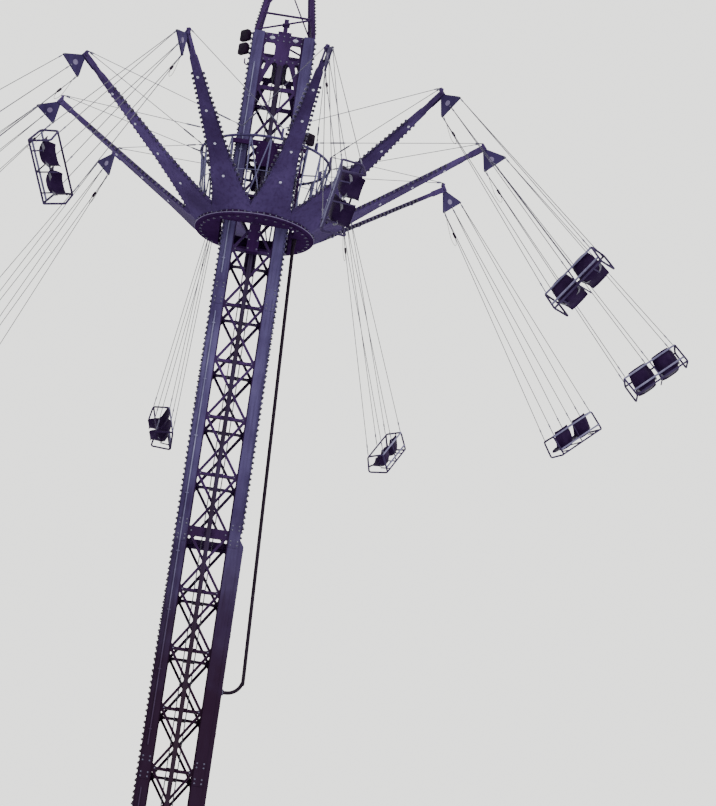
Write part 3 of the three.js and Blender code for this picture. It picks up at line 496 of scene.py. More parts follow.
# Lattice sides: angle irons welded between the columns. Each crossing on the left and right sides has a
# gusset plate with bolts, each bar a narrow standing leg inside, and each bay's corners a fillet plate.
BAYS, BAY_FOOT, BAY_TOP = 20, 0.400, 23.400
FACE_PLANE, FACE_HALF, LEG_DEPTH, LEG_THICK, LEG_SINK = 0.560, 0.3797, 0.045, 0.007, -0.004
LEG_Y, LEG_CUT, LEG_OFFSET, SILL_AT, END_BOLT_X = -0.510, 0.02, 0.017, -0.019, 0.330
FILLET_REACH, FILLET_THICK, FILLET_SINK, FILLET_Y, FILLET_RISE = 0.105, 0.006, 0.020, -0.556, 0.026
GUSSET_THICK = 0.007


def angle_leg(start, end, wide, edge):
    """The standing leg of an angle iron: a thin upright strip beside the line from start to end."""
    inner = edge - LEG_THICK
    profile = ((inner, LEG_SINK), (inner, LEG_DEPTH), (edge, LEG_DEPTH), (edge, LEG_SINK))
    return carried(profile, (start, end), wide, BACK)


def fillet_plate():
    """A corner plate with a hollow edge: from (r, 0) by the arc (r, r) - r*(cos t, sin t) to (0, r)."""
    t = np.linspace(0.5 * np.pi, 0, 6)
    arc = FILLET_REACH * np.stack((1 - np.cos(t), 1 - np.sin(t)), -1)
    back = ((-FILLET_SINK, FILLET_REACH), (-FILLET_SINK, -0.015), (FILLET_REACH, -0.015))
    return carried(np.vstack((arc, back)), ((0, 0, 0), (0, 0, FILLET_THICK)), RIGHT, BACK)


pitch = (BAY_TOP - BAY_FOOT) / BAYS
quarter_turns = [np.array(((c, s, 0), (-s, c, 0), (0, 0, 1.0)))
                 for c, s in ((1, 0), (0, 1), (-1, 0), (0, -1))]
gusset = flat_plate(0.075, 0.085, GUSSET_THICK, 0.022)
gusset_bolts = head.placed([(x, y, GUSSET_THICK) for x in (-0.042, 0.042) for y in (-0.050, 0.050)])
legs, crossings, bar_ends, fillets = [], [], [], []
for bay in range(BAYS):
    low = BAY_FOOT + bay * pitch
    crossings.append((0, -FACE_PLANE, low + pitch / 2))
    if bay:
        bar_ends += [(-END_BOLT_X, -FACE_PLANE, low), (END_BOLT_X, -FACE_PLANE, low)]
    for sign in (-1, 1):
        start, end = np.array(((-sign * FACE_HALF, LEG_Y, low), (sign * FACE_HALF, LEG_Y, low + pitch)))
        run = unit(end - start)
        start, end = start + run * LEG_CUT, end - run * LEG_CUT
        legs.append(angle_leg(start, end, np.cross(run, BACK), LEG_OFFSET * sign))
    legs.append(angle_leg((-FACE_HALF, LEG_Y, low), (FACE_HALF, LEG_Y, low), UP, SILL_AT))
for sx in (-1, 1):
    for sz, first in ((-1, 1), (1, 0)):
        at = [(sx * FACE_HALF, FILLET_Y, BAY_FOOT + bay * pitch + sz * FILLET_RISE)
              for bay in range(first, BAYS + first)]
        fillets.append(fillet_plate().scaled((-sx, sz, 1)).placed(at, out_front))
end_bolts = head.placed(bar_ends, out_front)
gussets = gusset.placed(crossings, out_front)
bolts = gusset_bolts.placed(crossings, out_front) + end_bolts
for name, turn in zip(SIDES, quarter_turns):
    railed = name in ("front", "rear")
    piece(f"angle_legs_{name}", sum(legs).placed((0, 0, 0), turn), steel_dark, "tower")
    piece(f"corner_plates_{name}", sum(fillets).placed((0, 0, 0), turn), steel_dark, "tower")
    if not railed:
        piece(f"gussets_{name}", gussets.placed((0, 0, 0), turn), steel_dark, "tower")
    piece(f"lattice_bolts_{name}", (end_bolts if railed else bolts).placed((0, 0, 0), turn), zinc, "tower")

# Guide rails: machined bars up the middle of the front and rear faces, on which the carriage's shoes run.
# Clips with a bolt each hold both edges of the rail to every horizontal.
RAIL_EDGE, CLIP_REACH, CLIP_THICK = 0.045, 0.062, 0.012


def greased():
    """Drawn steel under dark grease: long brighter streaks up the bar, patches of grease over them, and
    painted shade low down.
    """
    finish = Finish("rail_steel", "dark_steel", Specular_IOR_Level=0.1)
    drawn = finish.noise(1.0, 4.0, stretch=(60.0, 60.0, 0.8))
    grease = finish.noise(1.0, 5.0, stretch=(3.0, 3.0, 1.2))
    colour = finish.mix((drawn * 2.2 - 0.75).held(), (0.006, 0.002, 0.012), (0.026, 0.014, 0.050))
    colour = finish.mix(grease.rising(0.42, 4.0) * 0.7, colour, (0.006, 0.002, 0.008))
    # Painted shade: the rails darken towards the ground.
    colour = finish.mix(finish.painted_low_shade() * 0.9, colour, LOW_SHADE)
    return finish.feed(colour, 0.40 + 0.3 * grease, drawn, 0.25, 0.001)


coat(greased(), "guide_rail_front", "guide_rail_rear")
clip = flat_plate(CLIP_REACH / 2, 0.040, CLIP_THICK, 0.008)
clip_at = np.array([(side * (RAIL_EDGE + CLIP_REACH / 2), -FACE_PLANE, BAY_FOOT + bay * pitch)
                    for bay in range(1, BAYS) for side in (-1, 1)])
clips = clip.placed(clip_at, out_front) + head.placed(clip_at - (0, CLIP_THICK, 0), out_front)
for name, turn in (("front", quarter_turns[0]), ("rear", quarter_turns[2])):
    piece(f"rail_clips_{name}", clips.placed((0, 0, 0), turn), steel_dark, "tower")

# Head: pressed beams between the column tops with the sheave block and its collared post. Two oval lamp
# glasses sit on each top beam, and hoist ropes of laid wire run down inside the tower.
BEAM_Z, OVAL_X, OVAL_NARROW, RIVET_ROWS, RIVET_REACH = 24.500, 0.235, 0.62, (24.020, 24.455, 24.560), 0.36
ROPE_X, ROPE_RADIUS, ROPE_FOOT, ROPE_HEAD, STRANDS = 0.105, 0.011, 0.0803, 23.9997, 6.0


def laid_wire(name, slot, lay, pale, dark):
    """Laid steel wire: grooves wind round the rope, from its length and turn values, under patchy grease;
    painted shade darkens the grooves and a painted highlight lightens the crests.
    """
    finish = Finish(name, slot, Metallic=0.25, Specular_IOR_Level=0.3)
    where = finish.add("TexCoord", out=FROM_WRAP)
    along, around = (finish.add("SeparateXYZ", out=axis, Vector=where) for axis in (0, 1))
    wound = along * lay + around * STRANDS
    ridge_and_groove_shade = 1.0 - (wound.maths("FRACT", wound) * 2.0 - 1.0) ** 2.0
    grease = finish.noise(5.0, 4.0)
    # Painted shade and highlight: the grooves between strands are coloured darker and the crests paler.
    colour = finish.mix((ridge_and_groove_shade * 0.8 + grease * 0.5 - 0.35).held(), dark, pale)
    return finish.feed(colour, 0.34 + 0.3 * grease, ridge_and_groove_shade, 0.6, 0.002)


def lamp_lens():
    """Pale moulded lens: ripples from a ring wave over dusty, milky plastic."""
    finish = Finish("lamp_lens", "lamp_housing", Coat_Weight=0.2, Coat_Roughness=0.1, Specular_IOR_Level=0.3)
    ripple = finish.add("TexWave", {"wave_type": "RINGS"}, out=1, Vector=finish.place(), Scale=26.0,
                        Distortion=1.0)
    dust = finish.noise(30.0, 4.0)
    colour = finish.mix((dust * 1.4 - 0.3).held(), (0.20, 0.19, 0.28), (0.36, 0.35, 0.46))
    return finish.feed(colour, 0.22 + 0.25 * dust, ripple, 0.2, 0.001)


lens_pale = lamp_lens()
hoist_wire = laid_wire("hoist_wire", "stay_cable", 420.0, (0.075, 0.070, 0.10), (0.022, 0.018, 0.032))
oval = spun(((0, 0), (0.052, 0), (0.056, 0.006), (0.048, 0.016), (0.026, 0.022), (0, 0.024)), 20)
oval_at = [(x, -FACE_PLANE, BEAM_Z) for x in (-OVAL_X, OVAL_X)]
ovals = oval.scaled((1, OVAL_NARROW, 1)).placed(oval_at, out_front)
rivet_at = [(x, -FACE_PLANE, z) for z in RIVET_ROWS for x in np.linspace(-RIVET_REACH, RIVET_REACH, 7)]
rivets = head.placed(rivet_at, out_front)
for name, turn in zip(SIDES, quarter_turns):
    piece(f"oval_lamps_{name}", ovals.placed((0, 0, 0), turn), lens_pale, "tower", soft=True)
    piece(f"head_bolts_{name}", rivets.placed((0, 0, 0), turn), zinc, "tower")
rope_end = spun(((0, 0), (0.030, 0), (0.030, 0.020), (0.018, 0.110), (0.0115, 0.130), (0, 0.130)), 16)
for x, name in ((-ROPE_X, "left"), (ROPE_X, "right")):
    rope = rod((x, 0, ROPE_FOOT), (x, 0, ROPE_HEAD), ROPE_RADIUS, 12, RIGHT, 3)
    piece(f"hoist_wire_{name}", rope, hoist_wire, "tower", soft=True, stands_for=f"hoist_rope_{name}")
    piece(f"rope_socket_{name}", rope_end.placed((x, 0, ROPE_FOOT)), zinc, "tower", soft=True)

# Cable hook: a bent round bar with a flange, on the left side of the front left column, below the
# floodlights.
HOOK_FOOT = np.array((-0.615, -0.500, 23.860))
HOOK_KNOTS = HOOK_FOOT + np.array(((0, 0, 0), (-0.050, 0, 0), (-0.090, 0, 0.020), (-0.103, 0, 0.070),
                                   (-0.103, 0, 0.125)))
KNOT_STEPS, BRACKET_BAR = 6, 0.014
out_left = facing((-1, 0, 0))
hook_flange = spun(((0, 0), (0.045, 0), (0.045, 0.007), (0, 0.007)), 20).placed(HOOK_FOOT, out_left)
hook = tube(smooth(HOOK_KNOTS, KNOT_STEPS), BRACKET_BAR, 12, BACK) + hook_flange
piece("cable_hook", hook, steel_dark, "tower", soft=True)

# Mast: a slim pyramid of square tube above the head, with a cap plate and a spike. Cap lamps run up the
# outer corner of each leg.
MAST_FOOT, MAST_TOP, MAST_FOOT_HALF, MAST_TOP_HALF = 24.6003, 28.350, 0.584, 0.045
MAST_LEG_REACH, MAST_PITCH, MAST_LAMP_FOOT, MAST_LAMP_END, SMALL_CAP = 0.02976, 0.075, 0.10, 0.12, 0.72
rises = np.arange(MAST_LAMP_FOOT, MAST_TOP - MAST_FOOT - MAST_LAMP_END, MAST_PITCH)
reach = MAST_FOOT_HALF + (MAST_TOP_HALF - MAST_FOOT_HALF) * rises / (MAST_TOP - MAST_FOOT) + MAST_LEG_REACH
for name, sx, sy in CORNERS:
    origins = np.stack((sx * reach, sy * reach, MAST_FOOT + rises), -1)
    caps = cap.scaled(SMALL_CAP).placed(origins, facing((sx, sy, 0)))
    piece(f"mast_lamps_{name}", caps, lamp_glass, "tower", soft=True)

# Trunking: folded sheet-steel duct on the side of the front right column, in lengths with joint straps
# and cover screws. A gland nut holds the cable in its side, and a rubber sleeve holds it under the deck.
DUCT_FACE, DUCT_Y, DUCT_FOOT, DUCT_TOP = 0.7053, -0.507, 0.530, 14.010
STRAP_FIRST, STRAP_LAST, STRAP_PITCH, SCREW_FIRST, SCREW_PITCH, SCREW_Y = 0.35, 0.1, 1.90, 0.12, 0.38, 0.086
GLAND_HOLE, DECK_GLAND_RISE = 0.0363, 0.030
strap = flat_plate(0.098, 0.030, 0.004, 0.006)
strap_at = [(DUCT_FACE, DUCT_Y, z)
            for z in np.arange(DUCT_FOOT + STRAP_FIRST, DUCT_TOP - STRAP_LAST, STRAP_PITCH)]
screw = spun(((0, 0), (0.008, 0), (0.0075, 0.004), (0.004, 0.006), (0, 0.0062)), 10)
screw_at = [(DUCT_FACE, DUCT_Y + side * SCREW_Y, z)
            for z in np.arange(DUCT_FOOT + SCREW_FIRST, DUCT_TOP, SCREW_PITCH) for side in (-1, 1)]
out_right, down = facing(RIGHT), facing((0, 0, -1), RIGHT)
piece("duct_straps", strap.placed(strap_at, out_right), steel_tower, "tower")
piece("duct_screws", screw.placed(screw_at, out_right), zinc, "tower", soft=True)
gland_nut = spun(((GLAND_HOLE, 0.001), (0.062, 0.001), (0.064, 0.006), (0.064, 0.018), (0.052, 0.023),
                  (GLAND_HOLE, 0.023), (GLAND_HOLE, 0.001)), 6)
relief = spun(((GLAND_HOLE, 0.030), (0.052, 0.030), (0.050, 0.045), (0.041, 0.120), (0.0378, 0.130),
               (GLAND_HOLE, 0.130), (GLAND_HOLE, 0.030)), 20)
piece("gland_nut", gland_nut.placed((DUCT_FACE, DUCT_Y, GLAND[2]), out_right), zinc, "tower")
deck_gland = relief.placed(CABLE_TOP + (0, 0, DECK_GLAND_RISE), down)
piece("deck_gland", deck_gland, rubber_black, "carriage", soft=True)

# Floodlights: die-cast housings with cooling fins behind and a framed glass in front, two on brackets at
# the head and one on the cage's top ring.
LAMP_WIDE, LAMP_HIGH, SHELL_DEEP, RIM_DEEP, FIN_DEEP = 0.220, 0.240, 0.062, 0.016, 0.050
RIM_AT, FIN_AT, FIN_REACH, GLASS_AT, GLASS_INSET = 0.063, -0.041, 0.088, 0.0745, 0.04
HEAD_FACE, HEAD_LAMP_Y, BRACKET, BODY_SHIFT, BRACKET_DROP = -0.6153, -0.500, 0.150, 0.0195, 0.05
HEAD_LAMPS = (("floodlight_head_upper", 24.470), ("floodlight_head_lower", 24.180))


def cast_black():
    """Black powder coat: fine grain, slightly faded on broad patches."""
    finish = Finish("lamp_housing", "lamp_housing", Specular_IOR_Level=0.03)
    fade = finish.noise(6.0, 4.0)
    colour = finish.mix((fade * 1.6 - 0.5).held(), (0.005, 0.001, 0.007), (0.012, 0.005, 0.016))
    return finish.feed(colour, 0.45 + 0.2 * fade, finish.noise(300.0, 2.0), 0.3, 0.0006)


def flood_glass():
    """Unlit front glass: near black behind a light, patchy film of dust."""
    finish = Finish("flood_glass", "lamp_housing", Specular_IOR_Level=0.03)
    dust = finish.noise(22.0, 5.0)
    colour = finish.mix(dust.rising(0.4, 2.0), (0.004, 0.001, 0.006), (0.013, 0.007, 0.018))
    return finish.feed(colour, 0.30 + 0.3 * dust)


def rounded_box(wide, high, deep, radius):
    """A superellipse |a/A|^8 + |b/B|^8 = 1 carried in depth, its ends drawn in along a quarter circle."""
    t = -2 * np.pi * (np.arange(32) + 0.5) / 32
    turn = np.stack((np.cos(t), np.sin(t)), -1)
    outline = np.sign(turn) * np.abs(turn) ** 0.25
    depth = np.array((0.0, 0.3, 1.0)) * radius
    inset = radius - np.sqrt(radius**2 - (radius - depth) ** 2)
    z, inset = np.concatenate((depth, deep - depth[::-1])), np.concatenate((inset, inset[::-1]))
    scale = np.stack((wide / 2 - inset, high / 2 - inset), -1)
    depths = np.broadcast_to(z[:, None, None], (6, 32, 1))
    return stacked(np.concatenate((outline[None] * scale[:, None], depths), -1))


def floodlight(origin, outward, name, body):
    """Housing, fins and glass in one frame: first axis sideways, second up, third out of the glass."""
    axes = facing(outward)
    case = rounded_box(LAMP_WIDE, LAMP_HIGH, SHELL_DEEP, 0.012).placed((0, 0, -0.001))
    case = case + rounded_box(LAMP_WIDE, LAMP_HIGH, RIM_DEEP, 0.005).placed((0, 0, RIM_AT))
    fin = rounded_box(0.007, LAMP_HIGH - 0.05, FIN_DEEP, 0.003)
    case = case + fin.placed([(x, 0, FIN_AT) for x in np.linspace(-FIN_REACH, FIN_REACH, 9)])
    piece(f"{name}_case", case.placed(origin, axes), housing_black, body, soft=True, stands_for=name)
    glass = rounded_box(LAMP_WIDE - GLASS_INSET, LAMP_HIGH - GLASS_INSET, 0.006, 0.002)
    piece(f"{name}_glass", glass.placed(origin + axes[0][2] * GLASS_AT, axes), dark_glass, body, soft=True)


housing_black, dark_glass = cast_black(), flood_glass()
head_out = unit(np.array((-1.0, -1.0, 0.0)))
bracket_flange = spun(((0, 0), (0.040, 0), (0.040, 0.006), (0.018, 0.012), (0, 0.012)), 16)
for name, z in HEAD_LAMPS:
    lamp_at = np.array((HEAD_FACE - BRACKET, HEAD_LAMP_Y, z)) - head_out * BODY_SHIFT
    floodlight(lamp_at, head_out, name, "tower")
    foot = np.array((HEAD_FACE, HEAD_LAMP_Y, z - BRACKET_DROP))
    sweep = foot + np.array(((0, 0, 0), (-0.05, 0, 0), (-0.09, 0, 0.02), (-0.125, 0, BRACKET_DROP)))
    bracket = tube(smooth(sweep, KNOT_STEPS), BRACKET_BAR, 12, BACK) + bracket_flange.placed(foot, out_left)
    piece(f"{name}_arm", bracket, zinc, "tower", soft=True)

# Lifting carriage: a round deck with a square hole, posts and an upper frame whose shoes grip the guide
# rails. A row of pale drain eyelets shows on its plain underside.
RIM, DECK_UNDER, EYELET_R, EYELETS, SHOE_Y = 20.490, 20.4635, 1.075, 36, -0.760
LOW_SHOE, HIGH_SHOE = ((-0.085, 0.085), (-0.56, -0.38, -0.20, -0.03)), ((-0.175, 0.175), (1.23, 1.44, 1.65))


def ring_points(azimuths, radius, height):
    """Points on a level circle at the given azimuths."""
    x, y = radius * np.cos(azimuths), radius * np.sin(azimuths)
    return np.stack((x, y, np.full(len(azimuths), height)), -1)


def shares(count):
    """Azimuths that share out a full turn."""
    return 2 * np.pi * np.arange(count) / count


deck_paint = weathered("deck_steel", "dark_steel", (0.014, 0.004, 0.026), (0.030, 0.011, 0.050),
                       (0.008, 0.002, 0.014), shine=0.0)
coat(deck_paint, "carriage")
eyelet = spun(((0.016, 0.001), (0.026, 0.001), (0.026, 0.005), (0.022, 0.008), (0.016, 0.008),
               (0.016, 0.001)), 16)
eyelets = eyelet.placed(ring_points(shares(EYELETS), EYELET_R, DECK_UNDER), down)
piece("deck_eyelets", eyelets, zinc, "carriage", soft=True)
shoe_at = [(x, SHOE_Y, RIM + z) for xs, zs in (LOW_SHOE, HIGH_SHOE) for x in xs for z in zs]
shoe_bolts = head.placed(shoe_at, out_front)
piece("shoe_bolts_front", shoe_bolts, zinc, "carriage")
piece("shoe_bolts_rear", shoe_bolts.placed((0, 0, 0), quarter_turns[2]), zinc, "carriage")

# Slewing ring: a deep rolled channel that turns on the deck and carries the arms. A pale lip runs round
# its lower edge, and two rows of bolt heads stand on its outer face.
RING_IN, RING_OUT, RING_HIGH, RING_SIDES = 1.050, 1.1895, 0.280, 160
RING_BOLTS, BOLT_ROWS = 60, (0.052, 0.245)
FIRST_ARM, ARMS = math.radians(11.1 - 90.0), 10
trim_pale = weathered("pale_trim", "tower_steel", (0.075, 0.060, 0.115), (0.150, 0.130, 0.215),
                      (0.040, 0.028, 0.060), chips=0.72)
ring_profile = ((RING_IN, 0.001), (RING_OUT - 0.004, 0.001), (RING_OUT, 0.006), (RING_OUT, 0.034),
                (RING_OUT - 0.010, 0.040), (RING_OUT - 0.010, 0.066), (RING_OUT, 0.070),
                (RING_OUT, RING_HIGH - 0.030), (RING_OUT - 0.006, RING_HIGH - 0.004),
                (RING_OUT - 0.012, RING_HIGH), (RING_IN + 0.004, RING_HIGH), (RING_IN, RING_HIGH - 0.004),
                (RING_IN, 0.001))
lip_profile = [(RING_OUT + r, z) for r, z in ((-0.003, 0.012), (0.005, 0.012), (0.008, 0.015), (0.008, 0.026),
                                              (0.005, 0.029), (-0.003, 0.029), (-0.003, 0.012))]
rim_middle = (0, 0, RIM)
piece("slewing_ring", spun(ring_profile, RING_SIDES).placed(rim_middle), deck_paint, "rotor", soft=True,
      stands_for="rotor_ring")
piece("rim_lip", spun(lip_profile, RING_SIDES).placed(rim_middle), trim_pale, "rotor", soft=True)
arm_azimuths = FIRST_ARM + shares(ARMS)
radial, tangent = ring_points(arm_azimuths, 1.0, 0.0), ring_points(arm_azimuths + np.pi / 2, 1.0, 0.0)
ring_out = ring_points(shares(RING_BOLTS), 1.0, 0.0)
ring_bolts = sum(head.placed(ring_out * RING_OUT + (0, 0, RIM + z), facing(ring_out)) for z in BOLT_ROWS)
piece("ring_bolts", ring_bolts, zinc, "rotor")

# Cage: crossed tubes and paired posts from the slewing ring up to a round top ring, all welded, with a
# thin hoop round the crossings. Flat lugs on the top ring take the stays.
CAGE_FOOT_R, CAGE_TOP_R, CAGE_TOP, CAGE_FOOT, CAGE_ROOT = 1.150, 1.300, 1.600, 0.2803, 0.2003
TOP_TUBE, POST_TUBE, BRACE_TUBE, HOOP_TUBE, HOOP_Z, HOOP_OUT = 0.028, 0.0175, 0.0145, 0.008, 0.905, 0.012
PANEL_TURN, POST_TURN, BRACE_FOOT_TURN, BRACE_TOP_TURN = (math.radians(d) for d in (18, 9.25, 8, 9))
TOP_SIDE_HALF, TOP_OFF_MIDDLE, HOOP_ROOT = math.radians(9), math.radians(1), 0.2
STAY_STEP, STAY_RISE, LUG_SEAT, LUG_HALF, LUG_FOOT = 0.034, 0.190, 0.0088, 0.020, 0.018
HUB_LAMP_AZIMUTH, HUB_LAMP_R, HUB_LAMP_RISE = math.radians(-52.5), 1.262, 0.0586
STUB_R, STUB_RISE = 1.284, 0.024
cage_paint = weathered("cage_paint", "tower_steel", (0.060, 0.054, 0.115), (0.130, 0.125, 0.215),
                       (0.024, 0.018, 0.045))


def hoop(radius, height, thick, sides):
    """A tube bent to a full circle about the tower's axis."""
    return tube(ring_points(shares(120), radius, height), thick, sides, UP, closed=True)


def slant(azimuth_foot, azimuth_top):
    """Feet and tops of tubes that lean out from the ring to the top ring, cut at the ring's face."""
    top_radius = CAGE_TOP_R * math.cos(TOP_SIDE_HALF) / math.cos(TOP_OFF_MIDDLE)
    low = ring_points(azimuth_foot, CAGE_FOOT_R, RIM + CAGE_ROOT)
    high = ring_points(azimuth_top, top_radius, RIM + CAGE_TOP)
    return low + (high - low) * (CAGE_FOOT - CAGE_ROOT) / (CAGE_TOP - CAGE_ROOT), high


panels = arm_azimuths + PANEL_TURN
posts = [slant(panels + sign * POST_TURN, panels + sign * POST_TURN) for sign in (-1, 1)]
braces = [slant(panels - sign * BRACE_FOOT_TURN, panels + sign * BRACE_TOP_TURN) for sign in (-1, 1)]
cage_form = sum(rod(a, b, POST_TUBE, 12) for lows, highs in posts for a, b in zip(lows, highs))
cage_form = cage_form + sum(rod(a, b, BRACE_TUBE, 12) for lows, highs in braces for a, b in zip(lows, highs))
hoop_part = (HOOP_Z - HOOP_ROOT) / (CAGE_TOP - HOOP_ROOT)
hoop_radius = CAGE_FOOT_R + (CAGE_TOP_R - CAGE_FOOT_R) * hoop_part + HOOP_OUT
cage_form = cage_form + hoop(hoop_radius, RIM + HOOP_Z, HOOP_TUBE, 8)
piece("cage_tubes", cage_form, cage_paint, "rotor", soft=True, stands_for="cage")
piece("cage_top_ring", hoop(CAGE_TOP_R, RIM + CAGE_TOP, TOP_TUBE, 16), steel_tower, "rotor", soft=True)
foot_pad = flat_plate(0.034, 0.034, 0.008, 0.006)
pad_at = np.vstack([lows for lows, _ in posts + braces]) - (0, 0, 0.0004)
piece("cage_foot_pads", foot_pad.placed(pad_at), cage_paint, "rotor")
lugs = []
for k in range(ARMS):
    top = CAGE_TOP + STAY_RISE + (STAY_STEP if k % 2 == 0 else 0.0) - LUG_SEAT
    base = radial[k] * CAGE_TOP_R + rim_middle
    outline = ((-0.032, CAGE_TOP + LUG_FOOT), (0.032, CAGE_TOP + LUG_FOOT), (0.025, top), (-0.025, top))
    lugs.append(carried(outline, (base - tangent[k] * LUG_HALF, base + tangent[k] * LUG_HALF), radial[k], UP))
piece("stay_lugs", sum(lugs), steel_tower, "rotor")
hub_out = ring_points(np.array((HUB_LAMP_AZIMUTH,)), 1.0, 0.0)[0]
hub_lamp_at = hub_out * HUB_LAMP_R + (0, 0, RIM + CAGE_TOP + HUB_LAMP_RISE + LAMP_HIGH / 2)
floodlight(hub_lamp_at, hub_out, "floodlight_hub", "rotor")
stub_at = hub_out * STUB_R + (0, 0, RIM + CAGE_TOP + STUB_RISE)
piece("hub_lamp_stub", flat_plate(0.020, 0.020, 0.042, 0.004).placed(stub_at), zinc, "rotor")

# Arms: ten tapered plate girders, bolted to the slewing ring and narrowing to a fork at the tip. A welded
# edge bead and a row of cap lamps run along both edges, and round lamps sit under the centre line.
TIP_R, TIP_RISE, ROOT_RISE, ROOT_R, ARM_HALF_THICK = 4.290, 2.370, 0.125, 1.190, 0.038
WIDTH_AT = np.array((0.0, 0.390, 0.840, 1.400, 2.150, 2.460, 3.330, 3.390, 3.60))
WIDTH_IS = np.array((0.425, 0.325, 0.245, 0.178, 0.138, 0.112, 0.072, 0.050, 0.050))
EDGE_FROM, EDGE_TO, EDGE_PITCH, UNDER_LAMPS = 0.300, 3.080, 0.107, np.array((0.73, 1.46, 2.19, 2.92))
ARM_CAP, BEAD_START, BEAD_END, BEAD_IN, BEAD_RADIUS, PIN_OUT = 1.25, 0.10, 3.56, 0.012, 0.007, 0.048
tilt = math.atan2(TIP_RISE - ROOT_RISE, TIP_R - ROOT_R)
arm_length = math.hypot(TIP_RISE - ROOT_RISE, TIP_R - ROOT_R)
arm_paint = weathered("arm_steel", "arm_steel", (0.023, 0.013, 0.046), (0.052, 0.034, 0.104),
                      (0.015, 0.007, 0.030), shine=0.01)
edge_s = np.arange(EDGE_FROM, EDGE_TO, EDGE_PITCH)
edge_w = np.interp(edge_s, WIDTH_AT, WIDTH_IS)
edge_slope = np.interp(edge_s, (WIDTH_AT[1:] + WIDTH_AT[:-1]) / 2, np.diff(WIDTH_IS) / np.diff(WIDTH_AT))
under_lamp = spun(((0, 0), (0.026, 0), (0.028, 0.004), (0.028, 0.014), (0.023, 0.018), (0.014, 0.025),
                   (0, 0.028)), 16)
pin_end, arm_cap = bolt(0.046, 0.014, 0.030), cap.scaled(ARM_CAP)
bead_s = np.array((BEAD_START, *WIDTH_AT[1:8], BEAD_END))
bead_w = np.interp(bead_s, WIDTH_AT, WIDTH_IS) - BEAD_IN
labels = [f"{k + 1:02d}" for k in range(ARMS)]
for k, label in enumerate(labels):
    along = radial[k] * math.cos(tilt) + np.array((0, 0, math.sin(tilt)))
    over = np.array((0, 0, math.cos(tilt))) - radial[k] * math.sin(tilt)
    root = radial[k] * ROOT_R + (0, 0, RIM + ROOT_RISE)
    tip = root + arm_length * along
    coat(arm_paint, f"arm_{label}")
    lamps, beads, pins = [], [], []
    for out in (-tangent[k], tangent[k]):
        edge = root + edge_s[:, None] * along + edge_w[:, None] * out
        lamps.append(arm_cap.placed(edge, facing(out - edge_slope[:, None] * along, over)))
        pins.append(pin_end.placed(tip + out * PIN_OUT, facing(out)))
        for face in (-ARM_HALF_THICK, ARM_HALF_THICK):
            path = root + bead_s[:, None] * along + bead_w[:, None] * out + over * face
            beads.append(carried(circle(BEAD_RADIUS, 6), path, tangent[k], over))
    piece(f"arm_lamps_{label}", sum(lamps), lamp_glass, "rotor", soft=True)
    lamp_at = root + UNDER_LAMPS[:, None] * along - over * ARM_HALF_THICK
    downlights = under_lamp.placed(lamp_at, facing(-over, along))
    piece(f"arm_downlights_{label}", downlights, lens_pale, "rotor", soft=True)
    piece(f"arm_beads_{label}", sum(beads + pins), arm_paint, "rotor")

# Stays: galvanised wire ropes, each from the lug at one arm's tip down to a lug on the top ring beside
# the next arm, with a turnbuckle near the ring and a pressed ferrule at each end.
STAY_RADIUS, STAY_TIP_R, STAY_TIP_Z, STAY_RING_Z = 0.0075, 4.275, 2.480, 1.790
TIP_FERRULE, RING_FERRULE, RING_BUCKLE = 0.12, 0.10, 0.42
stay_wire = laid_wire("stay_wire", "stay_cable", 260.0, (0.085, 0.080, 0.125), (0.028, 0.024, 0.044))
buckle = spun(((0, -0.16), (0.010, -0.16), (0.016, -0.13), (0.016, 0.13), (0.010, 0.16), (0, 0.16)), 10)
ferrule = spun(((0, -0.035), (0.012, -0.035), (0.014, -0.028), (0.014, 0.028), (0.012, 0.035),
                (0, 0.035)), 10)
for name, first, raised in (("odd", 0, 0.0), ("even", 1, STAY_STEP)):
    ropes, fittings = [], []
    for k in range(first, ARMS, 2):
        tip = radial[k] * STAY_TIP_R + (0, 0, RIM + STAY_TIP_Z + raised)
        for other in ((k + 1) % ARMS, k - 1):
            ring = radial[other] * CAGE_TOP_R + (0, 0, RIM + STAY_RING_Z + raised)
            run = unit(ring - tip)
            ropes.append(rod(tip, ring, STAY_RADIUS, 8, UP, 3))
            fittings.append(ferrule.placed([tip + run * TIP_FERRULE, ring - run * RING_FERRULE], facing(run)))
            fittings.append(buckle.placed(ring - run * RING_BUCKLE, facing(run)))
    piece(f"stay_ropes_{name}", sum(ropes), stay_wire, "rotor", soft=True, stands_for=f"stays_{name}")
    piece(f"stay_fittings_{name}", sum(fittings), zinc, "rotor", soft=True)

# Hangers: a flat triangular plate on a pin in each arm's fork, and six wire ropes, two from each base
# corner and two from the middle, down to the chair. A bare pale disc is painted on both sides.
SWING = math.radians(42)
PLATE_HALF, PLATE_FOOT, PIN_RADIUS, DISC_AT, EYE_AT, ROPE_AT = 0.015, -0.430, 0.0203, -0.290, -0.405, -0.405
ROPE_SPREAD, HANGER_ROPE, WIRE_RADIUS = 0.245, 0.0080, 0.0045
TOP_SLEEVE, FOOT_SLEEVE, FOOT_BUCKLE, SMALL_BUCKLE, GRIP_AT, WIRE_END = 0.10, 0.22, 0.105, 0.6, 0.55, 0.57
DROP, TRAIL, CHAIR_HALF, FRAME_TUBE, ROPE_IN, ROPE_SEAT = 5.600, 0.120, 0.600, 0.020, 0.030, 0.0214
BACK_V, FRONT_V, FRONT_W = -0.235, 0.130, -0.060
SLACK = ((-0.215, 0.0, -0.425), (-0.280, 0.015, -0.640), (-0.375, 0.020, -0.960), (-0.372, 0.018, -1.130),
         (-0.325, 0.010, -1.120), (-0.290, 0.004, -1.020))
plate_paint = weathered("hanger_steel", "hanger_steel", (0.014, 0.008, 0.036), (0.034, 0.024, 0.072),
                        (0.010, 0.006, 0.020))
